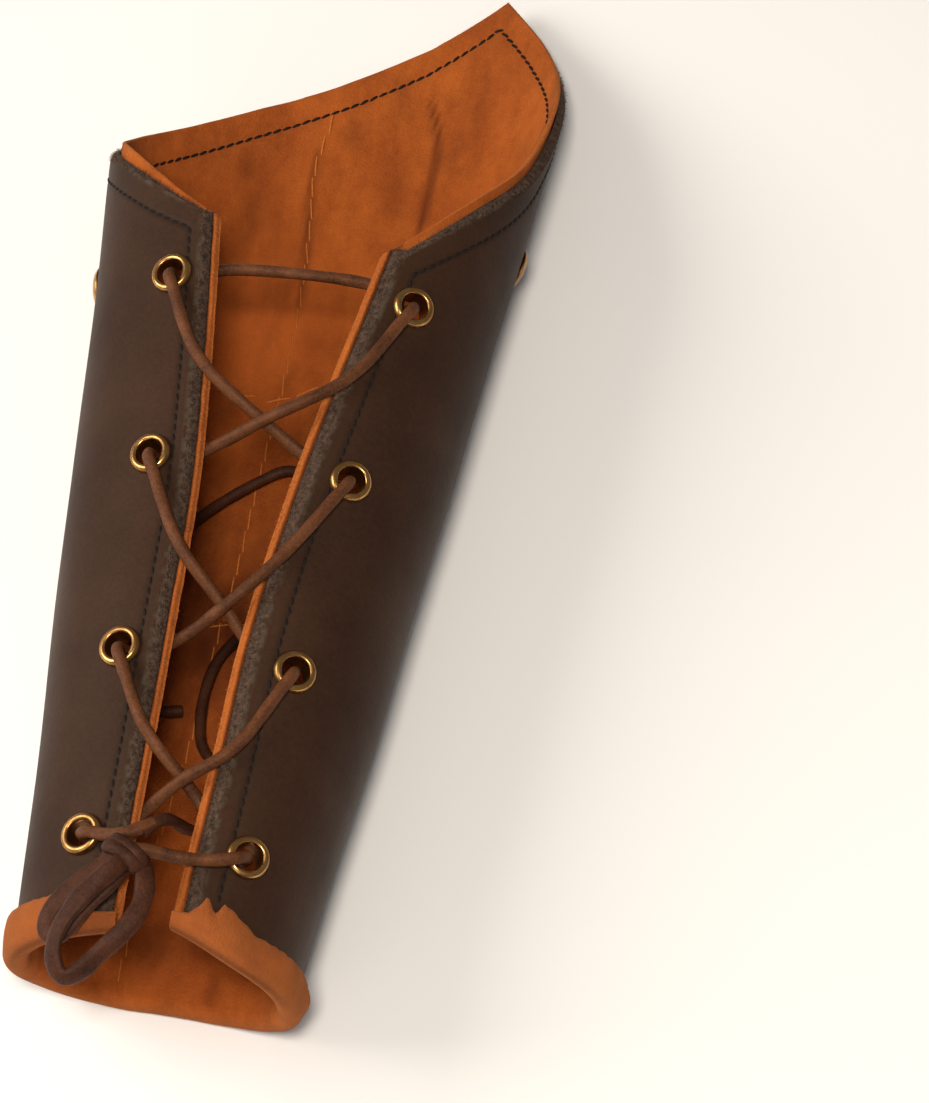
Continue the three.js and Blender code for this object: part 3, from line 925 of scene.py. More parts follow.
@dataclass(frozen=True)
class Suede:
    """Matt tan suede with a mottled nap."""

    deep: Colour = (0.165, 0.03, 0.0065)
    light: Colour = (0.47, 0.117, 0.019)
    pale: Colour = (0.45, 0.14, 0.035)
    worn: Colour = (0.24, 0.085, 0.03)
    # Dark colour of stains, and of painted shade in creases, the fold and beside the shell's edge
    soiled: Colour = (0.085, 0.02, 0.006)
    # Pale colour of painted light on the inside seen through the upper slit
    rubbed: Colour = (0.64, 0.15, 0.028)
    sheen: float = 0.08
    sheen_tint: Colour = (1.0, 0.55, 0.22)
    roughness: float = 0.95
    specular: float = 0.08

    def material(self) -> Material:
        """Builds the finish.

        Returns:
            The material.
        """
        graph = Graph("lining_suede")
        cloud = graph.span(graph.noise(22, 5), 0.3, 0.7)
        brushed = graph.span(graph.noise(140, 4, graph.scaled((1.0, 0.45, 1.0))), 0.3, 0.7)
        nap = graph.span(graph.noise(1700, 3), 0.3, 0.7)
        fleck = graph.span(graph.noise(420, 3), 0.32, 0.68)
        tone = graph.plus(graph.times(cloud, 0.5), graph.times(brushed, 0.32))
        tone = graph.plus(tone, graph.times(nap, 0.18))
        tone = graph.plus(tone, graph.times(fleck, 0.12))
        colour = graph.mix(tone, self.deep, self.light)
        # Painted light: a paler patch on the lit inside
        colour = graph.mix(graph.mark("rubbed"), colour, self.rubbed)
        blotch = graph.span(graph.noise(85, 6, graph.scaled((1.0, 0.55, 1.0))), 0.48, 0.74)
        # Stains and painted shade, over random blotches
        soil = graph.times(graph.mark("soil"), graph.span(brushed, 0, 1, 1.15, 0.6))
        soil = graph.larger(graph.times(blotch, 0.42), soil)
        colour = graph.mix(soil, colour, self.soiled)
        colour = graph.mix(graph.times(graph.mark("raw"), nap), colour, self.pale)
        colour = graph.mix(graph.times(graph.mark("outside"), 0.45), colour, self.worn)
        # Painted shade in the crease and the roll's fold, and the dark line of the middle seam
        colour = graph.mix(graph.times(graph.mark("crease"), 0.85), colour, self.soiled)
        weave = graph.bump(graph.noise(900, 4), 0.35, 0.0004)
        fine = graph.bump(nap, 0.5, 0.0003, weave)
        graph.shade(Base_Color=colour, Normal=fine)
        graph.shade(Roughness=self.roughness, Specular_IOR_Level=self.specular)
        graph.shade(Sheen_Weight=self.sheen, Sheen_Roughness=0.5, Sheen_Tint=self.sheen_tint)
        return graph.material


@dataclass(frozen=True)
class Brass:
    """Antique brass, bright where it is rubbed and brown in its hollows."""

    bright: Colour = (0.55, 0.3, 0.1)
    dull: Colour = (0.24, 0.115, 0.04)
    bright_roughness: float = 0.2
    dull_roughness: float = 0.42

    def material(self) -> Material:
        """Builds the finish.

        Returns:
            The material.
        """
        graph = Graph("brass")
        cloud = graph.span(graph.noise(260, 4), 0.35, 0.7)
        tarnish = graph.larger(cloud, graph.mark("hollow"))
        colour = graph.mix(tarnish, self.bright, self.dull)
        rough = graph.span(tarnish, 0, 1, self.bright_roughness, self.dull_roughness)
        scratch = graph.bump(graph.noise(2400, 2), 0.06, 0.0001)
        graph.shade(Base_Color=colour, Metallic=1.0, Roughness=rough, Normal=scratch)
        return graph.material


@dataclass(frozen=True)
class LaceLeather:
    """Soft brown lace with a fibrous skin."""

    name: str = "lace_leather"
    deep: Colour = (0.029, 0.0108, 0.0048)
    light: Colour = (0.162, 0.057, 0.0215)
    specular: float = 0.12

    def material(self) -> Material:
        """Builds the finish.

        Returns:
            The material.
        """
        graph = Graph(self.name)
        cloud = graph.span(graph.noise(120, 4), 0.3, 0.7)
        speck = graph.span(graph.noise(1600, 3), 0.3, 0.7)
        tone = graph.plus(graph.times(cloud, 0.6), graph.times(speck, 0.4))
        colour = graph.mix(tone, self.deep, self.light)
        rough = graph.span(cloud, 0, 1, 0.56, 0.45)
        skin = graph.bump(graph.noise(1100, 4), 0.4, 0.0004)
        graph.shade(Base_Color=colour, Roughness=rough, Normal=skin, Specular_IOR_Level=self.specular)
        return graph.material


@dataclass(frozen=True)
class Strand:
    """Sewing thread or loose fibre, with darker streaks.

    Attributes:
        name: the material's name.
        colour: its lightest colour.
        streaks: streaks in a metre.
        darkest: the darkest streak's share of the colour.
        roughness: how matt it is.
    """

    name: str
    colour: Colour
    streaks: float
    darkest: float
    roughness: float
    specular: float = 0.1

    def material(self) -> Material:
        """Builds the finish.

        Returns:
            The material.
        """
        graph = Graph(self.name)
        streak = graph.span(graph.noise(self.streaks, 2), 0.3, 0.7)
        dark = tuple(value * self.darkest for value in self.colour)
        graph.shade(Base_Color=graph.mix(streak, dark, self.colour))
        graph.shade(Roughness=self.roughness, Specular_IOR_Level=self.specular)
        return graph.material


@dataclass(frozen=True)
class Floor:
    """Plain white floor."""

    colour: Colour = (0.86, 0.86, 0.855)
    roughness: float = 0.9
    specular: float = 0.1

    def material(self) -> Material:
        """Builds the finish.

        Returns:
            The material.
        """
        graph = Graph("floor")
        graph.shade(Base_Color=self.colour, Roughness=self.roughness, Specular_IOR_Level=self.specular)
        return graph.material


# The lace of the knot and the loops: a darker copy of the lace, for painted shade and handling
HANDLED_AND_SHADED_BOW_LEATHER = LaceLeather("lace_bow", (0.013, 0.005, 0.003), (0.086, 0.028, 0.0125))
LEATHER_FIBRE = Strand("leather_fibres", (0.14, 0.092, 0.066), 700, 0.5, 0.95)
SUEDE_FIBRE = Strand("suede_fibres", (0.48, 0.17, 0.035), 700, 0.5, 0.95)
DARK_THREAD = Strand("dark_thread", (0.02, 0.013, 0.01), 2600, 0.55, 0.8)
ORANGE_THREAD = Strand("orange_thread", (0.62, 0.19, 0.035), 2600, 0.55, 0.8)


class NodeTool(NodeTree):
    """A geometry node tree with named inputs, made once and used on many paths or surfaces."""

    def __init__(self, name: str) -> None:
        """Starts a tree that takes and gives a geometry.

        Args:
            name: the tree's name.
        """
        super().__init__(bpy.data.node_groups.new(name, "GeometryNodeTree"))
        self.tree.interface.new_socket("Geometry", in_out="INPUT", socket_type="NodeSocketGeometry")
        self.tree.interface.new_socket("Geometry", in_out="OUTPUT", socket_type="NodeSocketGeometry")
        self.given = self.tree.nodes.new("NodeGroupInput")
        self.result = self.tree.nodes.new("NodeGroupOutput")
        self.inputs: dict[str, str] = {}

    def ask(self, name: str, kind: str) -> Socket:
        """Adds a named input.

        Args:
            name: the input's name.
            kind: its kind, such as Float, Int, Material or Object.

        Returns:
            The value that it gives.
        """
        socket = self.tree.interface.new_socket(name, in_out="INPUT", socket_type=f"NodeSocket{kind}")
        self.inputs[name] = socket.identifier
        return self.given.outputs[name]

    def times(self, value: Socket, factor: float) -> Socket:
        """Multiplies a value by a factor."""
        return self.node("ShaderNodeMath", {0: value, 1: factor}, operation="MULTIPLY").outputs[0]

    def vector(self, **parts: Socket) -> Socket:
        """Makes a vector of its X, Y and Z parts, zero where not given."""
        return self.node("ShaderNodeCombineXYZ", parts).outputs[0]

    def named(self, name: str, kind: str) -> Socket:
        """Reads a named value of the points."""
        return self.node("GeometryNodeInputNamedAttribute", {"Name": name}, data_type=kind).outputs[0]

    def turned(self, rotation: Socket, turn: Socket) -> Socket:
        """Turns a rotation further about its own axes."""
        links = {"Rotation": rotation, "Rotate By": turn}
        return self.node("FunctionNodeRotateRotation", links, rotation_space="LOCAL").outputs[0]

    def end(self, material: Socket, **placing: Socket) -> None:
        """Ends the tree: a shape is set on points, and becomes real faces with the material.

        Args:
            material: the material.
            placing: the points, the instance, its rotation and, where it differs, its scale.
        """
        placed = self.node("GeometryNodeInstanceOnPoints", placing)
        real = self.node("GeometryNodeRealizeInstances", {"Geometry": placed.outputs[0]})
        smooth = self.node("GeometryNodeSetShadeSmooth", {"Geometry": real.outputs[0], "Shade Smooth": True})
        dressed = self.node("GeometryNodeSetMaterial", {"Geometry": smooth.outputs[0], "Material": material})
        self.tree.links.new(dressed.outputs[0], self.result.inputs[0])

    def run(self, base: Piece, values: dict[str, object]) -> Piece:
        """Runs the tree on an object and turns the result into a plain mesh.

        Args:
            base: the path or surface.
            values: the named inputs.

        Returns:
            The base object, with the result as its mesh and no modifier.
        """
        modifier = base.modifiers.new("tool", "NODES")
        modifier.node_group = self.tree
        for name, value in values.items():
            modifier[self.inputs[name]] = value
        bpy.context.view_layer.update()
        evaluated = base.evaluated_get(bpy.context.evaluated_depsgraph_get())
        mesh = bpy.data.meshes.new_from_object(evaluated)
        base.modifiers.remove(modifier)
        base.data = mesh
        mesh.name = base.name
        return base


def stitch_tool() -> NodeTool:
    """Builds the tree that sews thread arches along a path whose points carry the surface's normal.

    Returns:
        The tree.
    """
    tool = NodeTool("stitches")
    pitch = tool.ask("Pitch", "Float")
    length = tool.ask("Length", "Float")
    radius = tool.ask("Thread radius", "Float")
    rise = tool.ask("Rise", "Float")
    slant = tool.ask("Slant", "Float")
    seed = tool.ask("Seed", "Int")
    material = tool.ask("Material", "Material")
    line = tool.node("GeometryNodeMeshToCurve", {"Mesh": tool.given.outputs["Geometry"]})
    spacing = {"Curve": line.outputs[0], "Length": pitch}
    spaced = tool.node("GeometryNodeResampleCurve", spacing, mode="LENGTH")
    half = tool.times(length, 0.5)
    sunk = tool.times(rise, -1.0)
    stops = {
        "Resolution": 6,
        "Start": tool.vector(X=tool.times(half, -1.0), Z=sunk),
        "Middle": tool.vector(Z=tool.times(rise, 2.0)),
        "End": tool.vector(X=half, Z=sunk),
    }
    arch = tool.node("GeometryNodeCurveQuadraticBezier", stops)
    ring = tool.node("GeometryNodeCurvePrimitiveCircle", {"Resolution": 6, "Radius": radius})
    round_arch = {"Curve": arch.outputs[0], "Profile Curve": ring.outputs[0], "Fill Caps": True}
    thread = tool.node("GeometryNodeCurveToMesh", round_arch)
    tangent = tool.node("GeometryNodeInputTangent", {})
    facing = tool.node(
        "FunctionNodeAxesToRotation",
        {"Primary Axis": tangent.outputs[0], "Secondary Axis": tool.named("up", "FLOAT_VECTOR")},
        primary_axis="X",
        secondary_axis="Z",
    )
    slants = {2: tool.times(slant, 0.4), 3: slant, "Seed": seed}
    angle = tool.node("FunctionNodeRandomValue", slants, data_type="FLOAT")
    turned = tool.turned(facing.outputs[0], tool.vector(Z=angle.outputs[1]))
    tool.end(material, Points=spaced.outputs[0], Instance=thread.outputs[0], Rotation=turned)
    return tool


def stud_tool() -> NodeTool:
    """Builds the tree that sets a turned metal shape on points that carry the surface's normal.

    Returns:
        The tree.
    """
    tool = NodeTool("studs")
    shape = tool.ask("Shape", "Object")
    material = tool.ask("Material", "Material")
    template = tool.node("GeometryNodeObjectInfo", {"Object": shape, "As Instance": True})
    facing = tool.node(
        "FunctionNodeAxesToRotation",
        {"Primary Axis": tool.named("up", "FLOAT_VECTOR"), "Secondary Axis": (0.0, 1.0, 0.0)},
        primary_axis="Z",
        secondary_axis="Y",
    )
    points = tool.given.outputs["Geometry"]
    tool.end(material, Points=points, Instance=template.outputs["Geometry"], Rotation=facing.outputs[0])
    return tool


def fuzz_tool() -> NodeTool:
    """Builds the tree that grows short fibres where a surface is marked raw.

    Returns:
        The tree.
    """
    tool = NodeTool("fibres")
    density = tool.ask("Density", "Float")
    length = tool.ask("Length", "Float")
    radius = tool.ask("Radius", "Float")
    seed = tool.ask("Seed", "Int")
    material = tool.ask("Material", "Material")
    chosen = tool.node("FunctionNodeCompare", {0: tool.named("raw", "FLOAT"), 1: 0.5}, data_type="FLOAT")
    raw_faces = {"Mesh": tool.given.outputs["Geometry"], "Selection": chosen.outputs[0]}
    scatter = {**raw_faces, "Density": density, "Seed": seed}
    roots = tool.node("GeometryNodeDistributePointsOnFaces", scatter)
    taper = {"Vertices": 3, "Radius Top": 0.0, "Radius Bottom": radius, "Depth": length}
    hair = tool.node("GeometryNodeMeshCone", taper, fill_type="NONE")
    leans = {0: (-0.9, -0.9, -3.1), 1: (0.9, 0.9, 3.1), "Seed": seed}
    lean = tool.node("FunctionNodeRandomValue", leans, data_type="FLOAT_VECTOR")
    turned = tool.turned(roots.outputs["Rotation"], lean.outputs[0])
    size = tool.node("FunctionNodeRandomValue", {2: 0.5, 3: 1.3, "Seed": seed}, data_type="FLOAT")
    points = roots.outputs["Points"]
    tool.end(material, Points=points, Instance=hair.outputs["Mesh"], Rotation=turned, Scale=size.outputs[1])
    return tool


@dataclass
class Seams:
    """The sewing that holds the lining in the shell: down both flaps and round the elbow edge."""

    wall: Wall
    left_inset: float = 6.8
    right_inset: float = 9.0
    elbow_inset: float = 6.2
    wrist_end: float = 5.5
    lowest_at_elbow: float = 120.0

    def path(self, spacing: float = 1.0) -> tuple[Array, Array]:
        """Gives the row's course up the left flap, round the elbow edge and down the right flap.

        Args:
            spacing: rough distance between its points.

        Returns:
            The distances round the wall and the places along.
        """
        columns = Columns.spread(
            self.wall, np.array([self.left_inset]), np.array([self.right_inset]), spacing
        )
        low = last_true(
            np.full(len(columns.share), self.lowest_at_elbow),
            columns.tops(),
            lambda middle: self.wall.from_elbow_edge(columns.around(middle), middle) > self.elbow_inset,
        )
        round_elbow = columns.around(low)
        up = np.arange(self.wrist_end, low[0], spacing)
        down = np.arange(self.wrist_end, low[-1], spacing)[::-1]
        around = [
            self.wall.slit(Side.LEFT, up, self.left_inset),
            round_elbow,
            self.wall.slit(Side.RIGHT, down, self.right_inset),
        ]
        return np.concatenate(around), np.concatenate([up, low, down])

    def groove(self, around: Array, along: Array, width: float) -> Array:
        """Says how near places of the wall are to the row of stitches, from 0 to 1.

        Args:
            around: distances round the wall.
            along: places along.
            width: half width of the groove.

        Returns:
            One value for each place.
        """
        left = around - self.wall.slit(Side.LEFT, along, self.left_inset)
        right = self.wall.slit(Side.RIGHT, along, self.right_inset) - around
        edge = self.wall.from_elbow_edge(around, along) - self.elbow_inset
        inside = np.minimum(left, right) > -width
        below = (edge > -width) & (along > self.wrist_end)
        near = np.minimum(np.where(below, np.minimum(np.abs(left), np.abs(right)), np.inf),
                          np.where(inside, np.abs(edge), np.inf))
        return np.exp(-((near / width) ** 2))


@dataclass
class Layered:
    """What the wall's two layers share: the sewing, the eyelets' holes and the rows near the elbow edge."""

    wall: Wall
    seams: Seams
    holes: Spots
    hole_radius: float = 4.0
    edge_rows: int = 20
    edge_zone: float = 13.0
    lying: float = 1.6
    lying_raw: float = 0.4

    def rim_raw(self, rim: Array) -> Array:
        """Says how raw the rim's points look: less so where they lie on the ground."""
        return np.where(rim[:, 2] > self.lying, 1.0, self.lying_raw)


@dataclass
class Shell(Layered):
    """The dark leather shell."""

    thickness: float = 2.2
    left_edge: float = 1.5
    right_edge: float = 1.8
    left_bevel: float = 2.3
    right_bevel: float = 3.0
    flap_zone: float = 18.0
    fine: float = 0.7
    spacing: float = 1.9
    lower_rows: int = 150
    groove_depth: float = 0.18
    groove_width: float = 0.6
    rim_rings: int = 4
    rim_bulge: float = 0.35
    far_from_edge: float = 9.0

    def build(self) -> Piece:
        """Builds the shell's mesh with its worn, raw and grooved places marked.

        Returns:
            The bare shell.
        """
        zone = np.arange(0, self.flap_zone, self.fine)
        left = self.left_edge + self.left_bevel + zone
        right = self.right_edge + self.right_bevel + zone
        columns = Columns.spread(self.wall, left, right, self.spacing)
        tops = columns.tops(Layer.FACE)
        lower = np.linspace(0, 1, self.lower_rows)[:, None]
        upper = np.linspace(0, 1, self.edge_rows)[1:, None]
        below = tops - self.edge_zone
        ends = self.wall.wrist(columns.around(np.zeros(len(tops))))
        along = np.concatenate([ends + (below - ends) * lower, below + self.edge_zone * upper])
        around = columns.around(along)
        removed = punch(around, along, self.holes, self.hole_radius)
        groove = self.seams.groove(around, along, self.groove_width)
        front = self.wall.point(around, along, self.groove_depth * groove)
        inner = around.copy()
        inner_along = along.copy()
        inner_along[-1] = columns.tops(Layer.BACK)
        inner[-1] = columns.around(inner_along[-1])
        inner[:, 0] -= self.left_bevel
        inner[:, -1] += self.right_bevel
        back = self.wall.point(inner, inner_along, self.thickness)
        sheet = Sheet(front, back, removed, self.rim_rings, self.rim_bulge)
        points = sheet.points()
        points[:, 2] = np.maximum(points[:, 2], 0.0)
        inset = np.minimum(
            around - self.wall.slit(Side.LEFT, along, left[0]),
            self.wall.slit(Side.RIGHT, along, right[0]) - around,
        )
        edge = np.minimum(inset, self.wall.from_elbow_edge(around, along)).ravel()
        rim = points[2 * edge.size:]
        marks = {
            "edge": np.concatenate([edge, np.full(edge.size, self.far_from_edge), np.zeros(len(rim))]),
            "raw": np.concatenate([np.zeros(2 * edge.size), self.rim_raw(rim)]),
            "groove": np.concatenate([groove.ravel(), np.zeros(edge.size + len(rim))]),
        }
        return make_object("shell_leather", points, sheet.faces(), marks)

    def dress(self, finish: Material) -> Piece:
        """Builds the shell and gives it its leather."""
        return finish_piece(self.build(), ["shell"], finish)


class BeadRow(NamedTuple):
    """The bead's section: share of its width in from the edge, and the depth of its two faces."""

    inset: float
    face: float
    back: float


BEAD = table(
    BeadRow,
    (0.0, 2.6, 2.9), (0.08, 2.2, 3.25), (0.22, 1.85, 3.5), (0.42, 1.65, 3.65), (0.62, 1.6, 3.75),
    (0.8, 1.75, 3.8), (0.95, 2.15, 3.8), (1.1, 2.48, 3.8),
)


class CuffRow(NamedTuple):
    """The turned-out cuff's upper edge: distance from the slit, and its place along."""

    from_slit: float
    top: float


CUFF_TOP_LEFT = table(
    CuffRow,
    (0, -2.2), (3.5, -2.5), (6.4, -2.6), (10, 1.0), (14.4, 2.0), (16.5, 1.3), (20.8, 1.0), (43.8, 0.6),
    (94.8, 7.5),
)
CUFF_TOP_RIGHT = table(
    CuffRow,
    (0, -0.2), (3.2, -0.1), (5.25, 2.3), (6.4, 4.4), (7.8, 2.4), (8.8, 1.1), (9.4, 1.6), (10.2, 3.8),
    (11.2, 3.4), (18.5, -1.0), (45, -1.6), (94, 7.5),
)
CREASE = table(
    EdgePoint,
    (17, 259), (20.5, 252), (22.5, 245.5), (23, 238), (23, 230), (22.4, 214),
)
SEAM_RIDGE = table(
    EdgePoint,
    (-9, 241), (-8.5, 228), (-7.5, 217), (-5.7, 204), (-5, 188),
)


class SuedePatch(NamedTuple):
    """A patch of the suede: its middle, its half sizes round the wall and along, and how dark it is.

    Dark patches are stains and painted shade; one with its darkness below zero is painted light, made paler.
    """

    around: float
    along: float
    wide: float
    long: float
    dark: float


# Small dark patches near the elbow; painted shade in the lower slit, darker towards the wrist; stains and
# painted shade below the knot at the wrist; below zero, painted light on the inside seen through the upper
# slit
STAINS_AND_PAINTED_LIGHT = table(
    SuedePatch,
    (-23, 214, 3.6, 11, 0.55), (-27, 230.5, 4, 5, 0.45), (-21, 190, 8, 3.5, 0.4),
    (-14, 205, 5, 12, 0.25), (13, 228, 6, 9, 0.25), (32, 255, 5, 6, 0.25), (5, 181, 9, 4, 0.25),
    (-8, 100, 20, 34, 0.85), (-15, 190, 22, 22, -0.45), (-5, 12, 9, 9, 0.6), (10, 2, 2.6, 5.5, 0.5),
    (-28, 4, 6, 5, 0.45),
)


class Course(NamedTuple):
    """Rows by columns of the suede's middle, and of the direction that its face looks in."""

    along: Array
    depth: Array
    face_along: Array
    face_depth: Array


@dataclass
class Lining(Layered):
    """The suede lining, proud of the shell along the slit and rolled outward at the wrist."""

    face: float = 2.5
    back: float = 3.8
    left_proud: float = 1.5
    right_proud: float = 1.8
    bead_starts: float = 4.0
    bead_blend: float = 4.0
    corner_from: float = 2.6
    corner_to: float = 14.5
    corner_step: float = 0.6
    roll_below_edge: float = 0.5
    roll_steps: int = 14
    cuff_clearance: float = 0.95
    cuff_bulge: float = 0.5
    cuff_rows: int = 9
    spacing: float = 1.4
    lower_rows: int = 130
    rim_rings: int = 3
    rim_bulge: float = 0.5
    groove_depth: float = 0.45
    groove_width: float = 1.3
    crease_width: float = 1.05
    crease_depth: float = 0.35
    crease_fades_low: float = 6.0
    crease_fades_high: float = 4.0
    ridge_dark: float = 0.75
    # Painted shade on the bead's face that runs under the shell
    shell_side_dark: float = 0.6
    hidden_from: float = 0.45
    hidden_up_to: float = 2.2
    bead_raw: float = 0.75
    bead_raw_up_to: float = 0.8
    bead_raw_fade: float = 3.0
    fold_from: float = 52.0
    fold_grows: float = 15.0
    fold_turn: float = 1.85
    fold_width: float = 0.4
    # Painted shade in the roll's fold
    fold_dark: float = 0.85
    fold_raw: float = 0.6
    bead_uneven: float = 0.14
    bead_uneven_size: float = 5.0
    bead_uneven_seed: int = 13
    flaps_apart: float = 400.0
    insets_apart: float = 4.0
    bulge_uneven: float = 0.5
    bulge_uneven_size: float = 22.0
    bulge_uneven_seed: int = 12
    ragged: float = 0.16
    ragged_size: float = 3.5
    ragged_seed: int = 11
    ragged_grows: float = 6.0
    uneven: float = 0.06
    uneven_size: float = 7.0
    uneven_seed: int = 21

    def _columns(self) -> Columns:
        """Lays the lining's columns: the bead's own beside the slit, then finer and even ones.

        Returns:
            The columns.
        """
        bead = np.array([row.inset for row in BEAD])
        corner = np.arange(self.corner_from, self.corner_to, self.corner_step)
        left = np.concatenate([bead * self.left_proud, corner])
        right = np.concatenate([bead * self.right_proud, corner])
        return Columns.spread(self.wall, left, right, self.spacing)

    def _turns(self) -> Array:
        """Gives the angle of each row of the roll, as a column."""
        return np.pi * np.arange(1, self.roll_steps + 1)[:, None] / self.roll_steps

    def _cuff_top(self, at_wrist: Array) -> Array:
        """Follows the cuff's torn upper edge.

        Args:
            at_wrist: distances round the wall at the wrist.

        Returns:
            The edge's place along at each of them.
        """
        from_left = at_wrist - self.wall.slit(Side.LEFT, 0.0, 0.0)
        from_right = self.wall.slit(Side.RIGHT, 0.0, 0.0) - at_wrist
        left = np.interp(from_left, *zip(*CUFF_TOP_LEFT))
        right = np.interp(from_right, *zip(*CUFF_TOP_RIGHT))
        from_slit = np.minimum(from_left, from_right)
        torn = self.ragged * ripple(at_wrist[:, None], self.ragged_size, self.ragged_seed)
        return np.where(at_wrist < 0, left, right) + torn * np.minimum(from_slit / self.ragged_grows, 1)

    def _course(self, columns: Columns) -> Course:
        """Follows the suede down the inside, round the roll and up the outside, in every column.

        Args:
            columns: the columns.

        Returns:
            The suede's course.
        """
        tops = columns.tops(Layer.LINING)
        middle = (self.face + self.back) / 2
        cuff = -self.cuff_clearance - (self.back - self.face) / 2
        radius = (middle - cuff) / 2
        below = tops - self.edge_zone
        upper = np.linspace(0, 1, self.edge_rows)[:-1, None]
        lower = np.linspace(0, 1, self.lower_rows)[:, None]
        at_wrist = columns.around(np.zeros(len(tops)))
        roll = self.wall.wrist(at_wrist) - self.roll_below_edge
        inner = np.concatenate([tops - self.edge_zone * upper, below + (roll - below) * lower])
        angle = self._turns()
        wide = np.ones((1, len(tops)))
        share = np.arange(1, self.cuff_rows + 1)[:, None] / self.cuff_rows
        wavy = ripple(at_wrist[:, None], self.bulge_uneven_size, self.bulge_uneven_seed)
        bulge = self.cuff_bulge * np.sin(np.pi * share) * (1 + self.bulge_uneven * wavy)
        outer = np.ones((self.cuff_rows, len(tops)))
        rolled_along = roll - radius * np.sin(angle) * wide
        rolled_depth = (middle - radius * (1 - np.cos(angle))) * wide
        cuff_along = roll + (self._cuff_top(at_wrist) - roll) * share
        return Course(
            along=np.concatenate([inner, rolled_along, cuff_along]),
            depth=np.concatenate([np.full(inner.shape, middle), rolled_depth, cuff - bulge * wide]),
            face_along=np.concatenate([np.zeros(inner.shape), -np.sin(angle) * wide, 0 * outer]),
            face_depth=np.concatenate([np.ones(inner.shape), np.cos(angle) * wide, -outer]),
        )

    def _beaded(self, columns: Columns, along: Array, depth: Array, faces: tuple) -> Array:
        """Shapes the bead beside the slit.

        Args:
            columns: the lining's columns.
            along: places along.
            depth: depths of one face without the bead.
            faces: the bead's insets and that face's depths.

        Returns:
            The depths with the bead.
        """
        from_left = np.where(columns.share == 0, columns.left_inset / self.left_proud, np.inf)
        from_right = np.where(columns.share == 1, columns.right_inset / self.right_proud, np.inf)
        inset = np.minimum(from_left, from_right)
        across = columns.share * self.flaps_apart + inset.clip(0, 2) * self.insets_apart
        place = np.stack([np.broadcast_to(across, along.shape), along], axis=-1)
        lumps = self.bead_uneven * ripple(place, self.bead_uneven_size, self.bead_uneven_seed)
        shaped = np.interp(inset, *faces) + lumps
        roll = self.wall.wrist(columns.around(np.zeros(len(inset)))) - self.roll_below_edge
        share = np.clip((along - roll - self.bead_starts) / self.bead_blend, 0, 1)
        share = share * (inset <= BEAD[-1].inset)
        return depth * (1 - share) + shaped * share

    def _line(self, line: Sequence[EdgePoint], around: Array, along: Array) -> Array:
        """Says how near places of the lining are to a thin line inside, from 0 to 1.

        Args:
            line: the line's points, from the elbow down.
            around: distances round the wall.
            along: places along.

        Returns:
            One value for each place.
        """
        rising = tuple(reversed(line))
        course = Curve(tuple(point.along for point in rising), tuple(point.around for point in rising))
        fade_low = np.clip((along - line[-1].along) / self.crease_fades_low, 0, 1)
        fade_high = np.clip((line[0].along - along) / self.crease_fades_high, 0, 1)
        return np.exp(-(((around - course(along)) / self.crease_width) ** 2)) * (fade_low * fade_high)

    def _stains(self, around: Array, along: Array) -> tuple[Array, Array]:
        """Says how dark, from stains and painted shade, and how pale, from painted light, places of the
        lining are, from 0 to 1.

        Args:
            around: distances round the wall.
            along: places along.

        Returns:
            The stains and painted shade, and the painted light, at each place.
        """
        soil = np.zeros(around.shape)
        rubbed = np.zeros(around.shape)
        for suede_patch in STAINS_AND_PAINTED_LIGHT:
            reach = ((around - suede_patch.around) / suede_patch.wide) ** 2 + ((along - suede_patch.along) / suede_patch.long) ** 2
            soil = np.maximum(soil, suede_patch.dark * np.exp(-reach))
            rubbed = np.maximum(rubbed, -suede_patch.dark * np.exp(-reach))
        return soil, rubbed

    def _fold(self, columns: Columns) -> tuple[Array, Array]:
        """Says how much painted shade lies in the fold of the roll, and where loose fibres stand on it.

        Args:
            columns: the lining's columns.

        Returns:
            The painted shade and the rawness of the roll's rows, by columns.
        """
        at_wrist = np.abs(columns.around(np.zeros(len(columns.share))))
        on_flap = np.clip((at_wrist - self.fold_from) / self.fold_grows, 0, 1)
        away = self._turns() - self.fold_turn
        dark = self.fold_dark * np.exp(-((away / self.fold_width) ** 2)) * on_flap
        raw = self.fold_raw * (np.abs(away) < self.fold_width) * (on_flap > 0.5)
        return dark, raw

    def build(self) -> Piece:
        """Builds the lining's mesh with its raw and outside places, stains, painted shade, painted light and
        seam line marked.

        Returns:
            The bare lining.
        """
        columns = self._columns()
        course = self._course(columns)
        half = (self.back - self.face) / 2
        inner_rows = self.edge_rows - 1 + self.lower_rows
        rolled = slice(inner_rows, inner_rows + self.roll_steps)
        along = course.along
        around = columns.around(along)
        inside = (np.arange(len(along)) < inner_rows)[:, None]
        removed = np.zeros((along.shape[0] - 1, along.shape[1] - 1), bool)
        cut_out = punch(around[:inner_rows], along[:inner_rows], self.holes, self.hole_radius)
        removed[:inner_rows - 1] = cut_out
        groove = self.seams.groove(around, along, self.groove_width) * inside
        crease = self._line(CREASE, around, along) * inside
        ridge = self._line(SEAM_RIDGE, around, along) * inside
        insets = [row.inset for row in BEAD]
        grids = []
        for side, depths in ((1, [row.back for row in BEAD]), (-1, [row.face for row in BEAD])):
            depth = course.depth + side * course.face_depth * half
            beaded = self._beaded(columns, along[:inner_rows], depth[:inner_rows], (insets, depths))
            depth[:inner_rows] = beaded
            if side == 1:
                depth = depth - self.groove_depth * groove - self.crease_depth * crease
            shift = side * course.face_along * half
            moved = around + columns.around(along + shift) - columns.around(along)
            grids.append(self.wall.point(moved, along + shift, depth))
        sheet = Sheet(grids[0], grids[1], removed, self.rim_rings, self.rim_bulge)
        points = sheet.points()
        wavy = self.uneven * ripple(points, self.uneven_size, self.uneven_seed)
